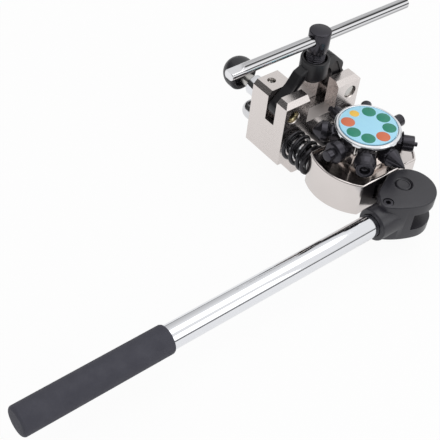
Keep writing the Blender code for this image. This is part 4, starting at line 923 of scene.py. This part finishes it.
def lever_outline():
    """Cam head's plan: a cam with a steadily growing reach, back arc, flank, corner and heel."""
    first, rise, sweep = 14.9, 5.3, math.radians(100)
    back, small, heel_radius = 21.5, 6.5, 12.7
    corner, heel, nose = np.array([(8.1, -25.4), (5.3, -15.5), (-first, -3.2)])
    turn = np.linspace(0, sweep, 40)
    normal = math.pi - turn
    reach = first + rise * turn
    cam_x = reach * np.cos(normal) + rise * np.sin(normal)
    cam_y = reach * np.sin(normal) - rise * np.cos(normal)
    cam = np.stack([cam_x, cam_y], 1)
    end_way = math.pi - sweep
    centre = cam[-1] - back * np.array([math.cos(end_way), math.sin(end_way)])
    stop = math.radians(-15)
    gap = centre - corner
    away = np.array([math.cos(stop), math.sin(stop)])
    inner = back - small
    excess = (gap @ gap - inner**2) / (2 * (inner + gap @ away))
    flank_centre = centre - excess * away
    flank_end = math.atan2(*(corner - flank_centre)[::-1])
    run = np.linalg.norm(heel - corner)
    way = math.atan2(*(heel - corner)[::-1])
    heel_start = way + math.acos((small - heel_radius) / run) - TAU
    nose_run = np.linalg.norm(nose - heel)
    nose_way = math.atan2(*(nose - heel)[::-1])
    heel_end = nose_way + math.acos(heel_radius / nose_run) - TAU
    line = [
        cam,
        arc(centre, back, np.linspace(end_way, stop, 40)[1:]),
        arc(flank_centre, back + excess, np.linspace(stop, flank_end, 16)[1:]),
        arc(corner, small, np.linspace(flank_end, heel_start, 24)[1:]),
        arc(heel, heel_radius, np.linspace(heel_start, heel_end, 24)),
        nose[None, :],
    ]
    return np.vstack(line)[::-1]


def make_lever_head():
    """Rounded slab on the cam outline, joined to the socket, then forked and bored."""
    piece = slab("cam_head", lever_outline(), LEVER_LOW, LEVER_HIGH, 1.3, "+Z", PIVOT_LINE, 5)
    pin_bore = [(0, 0), (PIVOT_BORE, 0), (PIVOT_BORE, 53.2), (7.8, 54.3), (7.8, 80), (0, 80)]
    profile = [(0, 12.0), (13.7, 12.0), (13.7, 39.5, 1.6), (0, 39.5)]
    socket = lathe("socket", profile, "-Y", HANDLE_LINE, 96, fillet_steps=5)
    cuts = [
        block_tool((60, -9.8, 28.5), (170, 60, 44.7)),
        lathe("pin_bore", pin_bore, "+Z", PIVOT_LINE, 72),
        drill("-Y", HANDLE_LINE, 9.85, 18.0, 60, 72),
        drill("+Z", SET_SCREW_LINE, 4.5, BAR_Z, 80, 48),
    ]
    carve(piece, cuts, [socket])
    soften(piece, 0.5, 3, 40.0)
    finish_piece(piece, "lever", CAST_BLACK, ("lever_head",), 38.0)


make_lever_head()


def make_pivot_pin():
    """Pin with a chamfered, slightly dished head."""
    head = [(5.5, 54.4, 0.3), (4.8, 54.4, 0.3), (4.4, 53.8, 0.3), (0, 53.8)]
    profile = [(0, 18.8), (6.4, 18.8, 0.6), (6.4, 53.4, 0.3), *head]
    piece = lathe("pivot_pin", profile, "+Z", PIVOT_LINE, 72)
    finish_piece(piece, "lever", CAST_BLACK, ("lever_pivot_pin",))


make_pivot_pin()


def make_handle():
    """Chromed tube, its locking screw and the moulded grip."""
    inside, start, end = 7.6, 18.3, 351.0
    wall = [(TUBE_RADIUS, start, 0.5), (TUBE_RADIUS, end, 0.5)]
    profile = [(inside, start), *wall, (inside, end, 0.3)]
    tube = lathe("handle_bar", profile, "-Y", HANDLE_LINE, 144, hollow=True)
    finish_piece(tube, "lever", CHROME, ("handle_tube",))
    profile = [(0, 46.5), (4.2, 46.5, 0.3), (4.2, 54.3, 0.5), (0, 54.3)]
    screw = lathe("handle_screw", profile, "+Z", SET_SCREW_LINE, 48)
    sides = radii(circle(6), 0, 2.3, 2.3, 0)
    carve(screw, [polar("key", sides, [51.4, 51.4, 60, 60], "+Z", SET_SCREW_LINE)])
    finish_piece(screw, "lever", BLACK_OXIDE, ("handle_set_screw",))
    profile = [
        (0, 351.4),
        (9.8, 351.4),
        (9.8, 237.3),
        (10.7, 237.3, 0.5),
        (11.25, 238.6, 0.8),
        (11.25, 355.3, 2.4),
        (0, 355.3),
    ]
    grip = lathe("hand_grip", profile, "-Y", HANDLE_LINE, 96, fillet_steps=10)
    finish_piece(grip, "lever", RUBBER, ("handle_grip",))


make_handle()


# Yoke, clamp screw and cross bar


def belt(circles, step=6.0):
    """Outline round a chain of circles: outer tangents, and an arc or a crossing at each."""
    least_ease, widest_ease, share_of_room = 0.1, 9.0, 0.4

    def side(chain):
        ways = []
        runs = []
        for (x0, y0, r0), (x1, y1, r1) in zip(chain, chain[1:]):
            run = math.hypot(x1 - x0, y1 - y0)
            runs.append(run)
            ways.append(math.atan2(y1 - y0, x1 - x0) - math.acos((r0 - r1) / run))
        line = []
        for i, (x, y, r) in enumerate(chain[1:-1]):
            turn = (ways[i + 1] - ways[i] + math.pi) % TAU - math.pi
            if turn > 0:
                line.append(bend(x, y, r, ways[i], turn))
            else:
                line.append(crossing(x, y, r, ways[i], turn, min(runs[i], runs[i + 1])))
        return line, ways

    def angles(start, turn):
        return np.linspace(start, start + turn, max(2, int(abs(math.degrees(turn)) / step) + 1))

    def bend(x, y, r, start, turn):
        return arc((x, y), r, angles(start, turn))

    def crossing(x, y, r, start, turn, room):
        """Inside corner eased by an arc, as wide as its two sides leave room for."""
        room_for = share_of_room * room / math.tan(abs(turn) / 2) - r
        ease = min(widest_ease, max(least_ease, room_for))
        reach = (r + ease) / math.cos(turn / 2)
        way = start + turn / 2
        middle = (x + reach * math.cos(way), y + reach * math.sin(way))
        return arc(middle, ease, angles(start + math.pi, turn))

    forward, out = side(circles)
    backward, back = side(circles[::-1])
    x, y, r = circles[-1]
    forward.append(bend(x, y, r, out[-1], (back[0] - out[-1]) % TAU))
    x, y, r = circles[0]
    backward.append(bend(x, y, r, back[-1], (out[0] - back[-1]) % TAU))
    return np.vstack(forward + backward)


YOKE_CIRCLES = [
    (-32.0, 66.5, 9.2),
    (-22.6, 82.1, 3.7),
    (-15.8, 91.4, 4.4),
    (-4.5, 95.6, 5.2),
    (15.0, 98.0, 5.6),
    (25.2, 87.8, 6.0),
    (23.7, 82.0, 7.0),
    (32.0, 66.5, 9.2),
]


def make_yoke():
    """Forged bridge: rounded slab on the belt of circles, sunk webs, collar and eyes."""
    back, front = YOKE_X - YOKE_HALF, YOKE_X + YOKE_HALF
    piece = slab("clamp_yoke", belt(YOKE_CIRCLES), back, front, 1.2, "+X", steps=5)
    profile = [(0, COLLAR_LOW), (12.3, COLLAR_LOW, 1.0), (12.3, COLLAR_HIGH, 1.2), (0, COLLAR_HIGH)]
    collar = lathe("collar", profile, "+Z", YOKE_LINE, 96, fillet_steps=4)
    near = [(-27.3, 74.3, 2.2), (-22.6, 82.1, 1.5), (-15.8, 91.4, 2.2)]
    far = [(27.9, 74.3, 4.8), (23.7, 82.0, 4.8), (20.1, 92.1, 3.4)]
    cuts = []
    for chain in (near, far):
        outline = belt(chain, 10.0)
        for middle in (back, front):
            cuts.append(slab("web", outline, middle - 1.5, middle + 1.5, 0.5, "+X"))
    for side in (-1, 1):
        cuts.append(drill("+X", (0, side * PIN_Y, PIN_Z), 6.1, -10, 20))
    bore = [(0, 60), (8.2, 60), (8.2, 98), (10.2, 98), (10.2, 120), (0, 120)]
    cuts.append(lathe("bore", bore, "+Z", YOKE_LINE, 72))
    carve(piece, cuts, [collar])
    soften(piece, 0.4, 2, 40.0)
    finish_piece(piece, "yoke", FORGED_BLACK, ("yoke",), 38.0)


make_yoke()


def make_screw():
    """Threaded shaft below a turned head, the head bored across for the bar; and its foot."""
    t = circle(72)
    shaft = thread_heights(88.8, 110.6, 0.22)
    thread = thread_radius(t, shaft, 7.9, 2.0, 0.9)
    radius = radii(t, 0, 3.0, 3.0, thread, 7.0, 7.0, 8.7, 9.2, 9.2, 8.9, 8.3, 0)
    head = [110.8, 111.5, 111.5, 112.2, 130.0, 130.5, 130.8, 130.8]
    heights = np.concatenate([[84.5, 84.5, 88.1], shaft, head])
    piece = polar("press_screw", radius, heights, "+Z", YOKE_LINE)
    carve(piece, [drill("+Y", (YOKE_X, 0, BAR_HOLE_Z), 5.05, -20, 20, 64)])
    finish_piece(piece, "screw", BLACK_OXIDE, ("clamp_screw",), 40.0)
    dish = [(0, 84.2), (3.3, 84.2, 0.2), (3.3, 87.5, 0.2)]
    profile = [*dish, (8.5, 87.5, 0.5), (8.5, 83.4, 0.9), (0, 83.4)]
    foot = lathe("press_foot", profile, "+Z", YOKE_LINE, 72)
    finish_piece(foot, "foot", DARK_STEEL, ("pressure_foot",))


make_screw()


def make_cross_bar():
    """Round bar whose section at its near end flattens: its height shrinks, its width stays.

    The section is (a cos t, b sin t); b goes from the radius to the flat's half thickness
    by a smooth step, and the sine is clipped so that the flat is truly flat.
    """
    radius, near, far, end_round = 4.75, -94.0, 100.0, 0.9
    half_flat, flat_length, run_out, clear = 3.1, 9.0, 6.0, 0.1
    q = np.sin(np.linspace(0, math.pi / 2, 6))
    flattening = np.linspace(near + 1.0, near + 22.0, 60)
    y = np.concatenate([near + end_round * (1 - q)[::-1], flattening, [far - 1.0], far - 1.0 + q])
    ends = np.minimum(np.clip((y - near) / end_round, 0, 1), np.clip(far - y, 0, 1))
    scale = radius - end_round * (1 - np.sqrt(np.clip(1 - (1 - ends) ** 2, 0, 1)))
    s = np.clip((y - (near + flat_length)) / run_out, 0, 1)
    flat = (half_flat + (radius + clear - half_flat) * (s * s * (3 - 2 * s)))[:, None]
    t = circle(96)
    a = scale[:, None] * np.cos(t)
    b = np.clip(scale[:, None] * np.sin(t), -flat, flat)
    h = np.broadcast_to(y[:, None], a.shape)
    grid = along("+Y", (YOKE_X, 0, BAR_HOLE_Z), b, a, h)
    piece = grid_piece("cross_bar_piece", grid, caps=(0, -1))
    # Chrome whose colour carries painted reflections, dark streaks round the bar's axis
    reflection_painted_chrome = painted_reflection_chrome(YOKE_X, BAR_HOLE_Z, near)
    finish_piece(piece, "cross_bar", reflection_painted_chrome, ("tee_bar",), 24.0)


make_cross_bar()


# Lock pin and knob


def make_lock_pin():
    """Round-nosed pin, and the ball knob whose well slides over the bush."""
    profile = [(0, -57.05), (PIN_RADIUS, -57.05), (PIN_RADIUS, -2.4, 1.6), (0, -2.4)]
    pin = lathe("locking_pin", profile, "+X", LOCK_LINE, 64, fillet_steps=6)
    finish_piece(pin, "lock", STEEL, ("lock_pin",))
    profile = [
        (0, -57.35),
        (PIN_BORE, -57.35),
        (PIN_BORE, -48.3),
        (9.8, -48.3, 0.3),
        (9.8, -43.5, 0.5),
        (14.1, -43.5, 2.0),
        (14.1, -50.0),
        (14.1, -64.1, 14.09),
        (0, -64.1),
    ]
    knob = lathe("lock_hand_knob", profile, "+X", LOCK_LINE, 120, fillet_steps=20)
    finish_piece(knob, "lock", KNOB_PLASTIC, ("lock_knob",), 40.0)


make_lock_pin()


# Hidden nodes keep the model's own shapes
for hidden, material in (
    ("lock_drag_plug", BRASS),
    ("turret_spindle", STEEL),
    ("index_ball", STEEL),
    ("index_spring", STEEL),
):
    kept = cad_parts[hidden]
    kept.data.materials.clear()
    kept.data.materials.append(material)


# Floor, light and camera
WHITE = (1.0, 1.0, 1.0, 1.0)


def plain_floor():
    """Pale floor that cameras and mirrors see as nearly white, with the shadow kept faint."""
    half, height = 4.0, -0.0006
    corners = [(-half, -half), (half, -half), (half, half), (-half, half)]
    mesh = bpy.data.meshes.new("floor")
    mesh.from_pydata([(x, y, height) for x, y in corners], [], [(0, 1, 2, 3)])
    floor = new_object("floor", mesh)
    material = bpy.data.materials.new("floor")
    material.use_nodes = True
    tree = material.node_tree
    shader = tree.nodes["Principled BSDF"]
    shader.inputs["Base Color"].default_value = (0.86, 0.86, 0.86, 1.0)
    shader.inputs["Roughness"].default_value = 0.9
    shader.inputs["Specular IOR Level"].default_value = 0.0
    glow = node(tree, "Emission", {"Color": WHITE, "Strength": 1.0})
    path = node(tree, "LightPath").outputs
    mirrored = calculate(tree, "MULTIPLY", path["Is Glossy Ray"], 0.7)
    share = blend(tree, path["Is Camera Ray"], mirrored, 0.94)
    mix = node(tree, "MixShader", {0: share, 1: shader.outputs[0], 2: glow.outputs[0]})
    tree.links.new(mix.outputs[0], tree.nodes["Material Output"].inputs["Surface"])
    floor.data.materials.append(material)


plain_floor()


def studio_world():
    """White behind the object; mirrors see a pale studio, darker left, low and low in front."""
    world = bpy.data.worlds.new("studio")
    bpy.context.scene.world = world
    world.use_nodes = True
    tree = world.node_tree
    way = node(tree, "TexCoord").outputs["Generated"]
    split = node(tree, "SeparateXYZ", {0: way}).outputs
    bright = map_range(tree, split["X"], -1.0, -0.25, 0.6, 0.92)
    low = map_range(tree, split["X"], -0.5, 0.3, 0.6, 0.12, "LINEAR")
    band = map_range(tree, split["Z"], 0.06, 0.22, low, 1.0)
    lean = node(tree, "VectorMath", {0: way, 1: (0.0, 0.6, 0.8)}, operation="DOT_PRODUCT")
    front = map_range(tree, lean.outputs["Value"], 0.15, 0.36, 0.06, 1.0)
    seen = calculate(tree, "MULTIPLY", calculate(tree, "MULTIPLY", bright, band), front)
    path = node(tree, "LightPath").outputs
    mirrored = blend(tree, path["Is Glossy Ray"], 0.68, seen)
    strength = blend(tree, path["Is Camera Ray"], mirrored, 1.0)
    back = tree.nodes["Background"]
    tree.links.new(strength, back.inputs["Strength"])
    back.inputs["Color"].default_value = WHITE


studio_world()


def aim(thing, place, *axes):
    """Put an object at a place, its own X, Y and Z along the given directions."""
    turn = Matrix(np.array(axes).T.tolist()).to_4x4()
    thing.matrix_world = Matrix.Translation(place) @ turn


def softbox(name, place, target, width, height, radiance):
    """Area lamp aimed at a point; its power is radiance × pi × its area."""
    lamp = bpy.data.lights.new(name, "AREA")
    lamp.shape = "RECTANGLE"
    lamp.size = width
    lamp.size_y = height
    lamp.energy = radiance * math.pi * width * height
    w = np.array(place, float) - np.array(target, float)
    w /= np.linalg.norm(w)
    u = np.cross((0.0, 0.0, 1.0), w)
    u /= np.linalg.norm(u)
    aim(new_object(name, lamp), place, u, np.cross(w, u), w)


softbox("overhead", (0.12, 0.3, 1.3), (0.12, -0.1, 0.0), 0.85, 1.4, 0.9)
softbox("right_side", (1.5, 0.5, 0.9), (0.05, -0.05, 0.05), 0.9, 0.9, 1.2)
softbox("front_fill", (0.5, -1.6, 1.1), (0.05, -0.1, 0.05), 1.0, 0.6, 0.7)


def photo_camera():
    """Camera at the photograph's place, looking down at 45 degrees and rolled a little."""
    lens = bpy.data.cameras.new("camera")
    lens.lens = 81.8
    lens.sensor_width = 36.0
    lens.clip_start = 0.01
    lens.clip_end = 50.0
    place = (0.45277, -0.51043, 0.58375)
    forward = np.array((-0.5108, 0.4858, -0.7093))
    roll = math.radians(7.43)
    forward /= np.linalg.norm(forward)
    level = np.cross(forward, (0.0, 0.0, 1.0))
    level /= np.linalg.norm(level)
    upward = np.cross(level, forward)
    right = math.cos(roll) * level + math.sin(roll) * upward
    up = -math.sin(roll) * level + math.cos(roll) * upward
    thing = new_object("camera", lens)
    aim(thing, place, right, up, -forward)
    bpy.context.scene.camera = thing


photo_camera()
bpy.context.scene.view_settings.view_transform = "Standard"
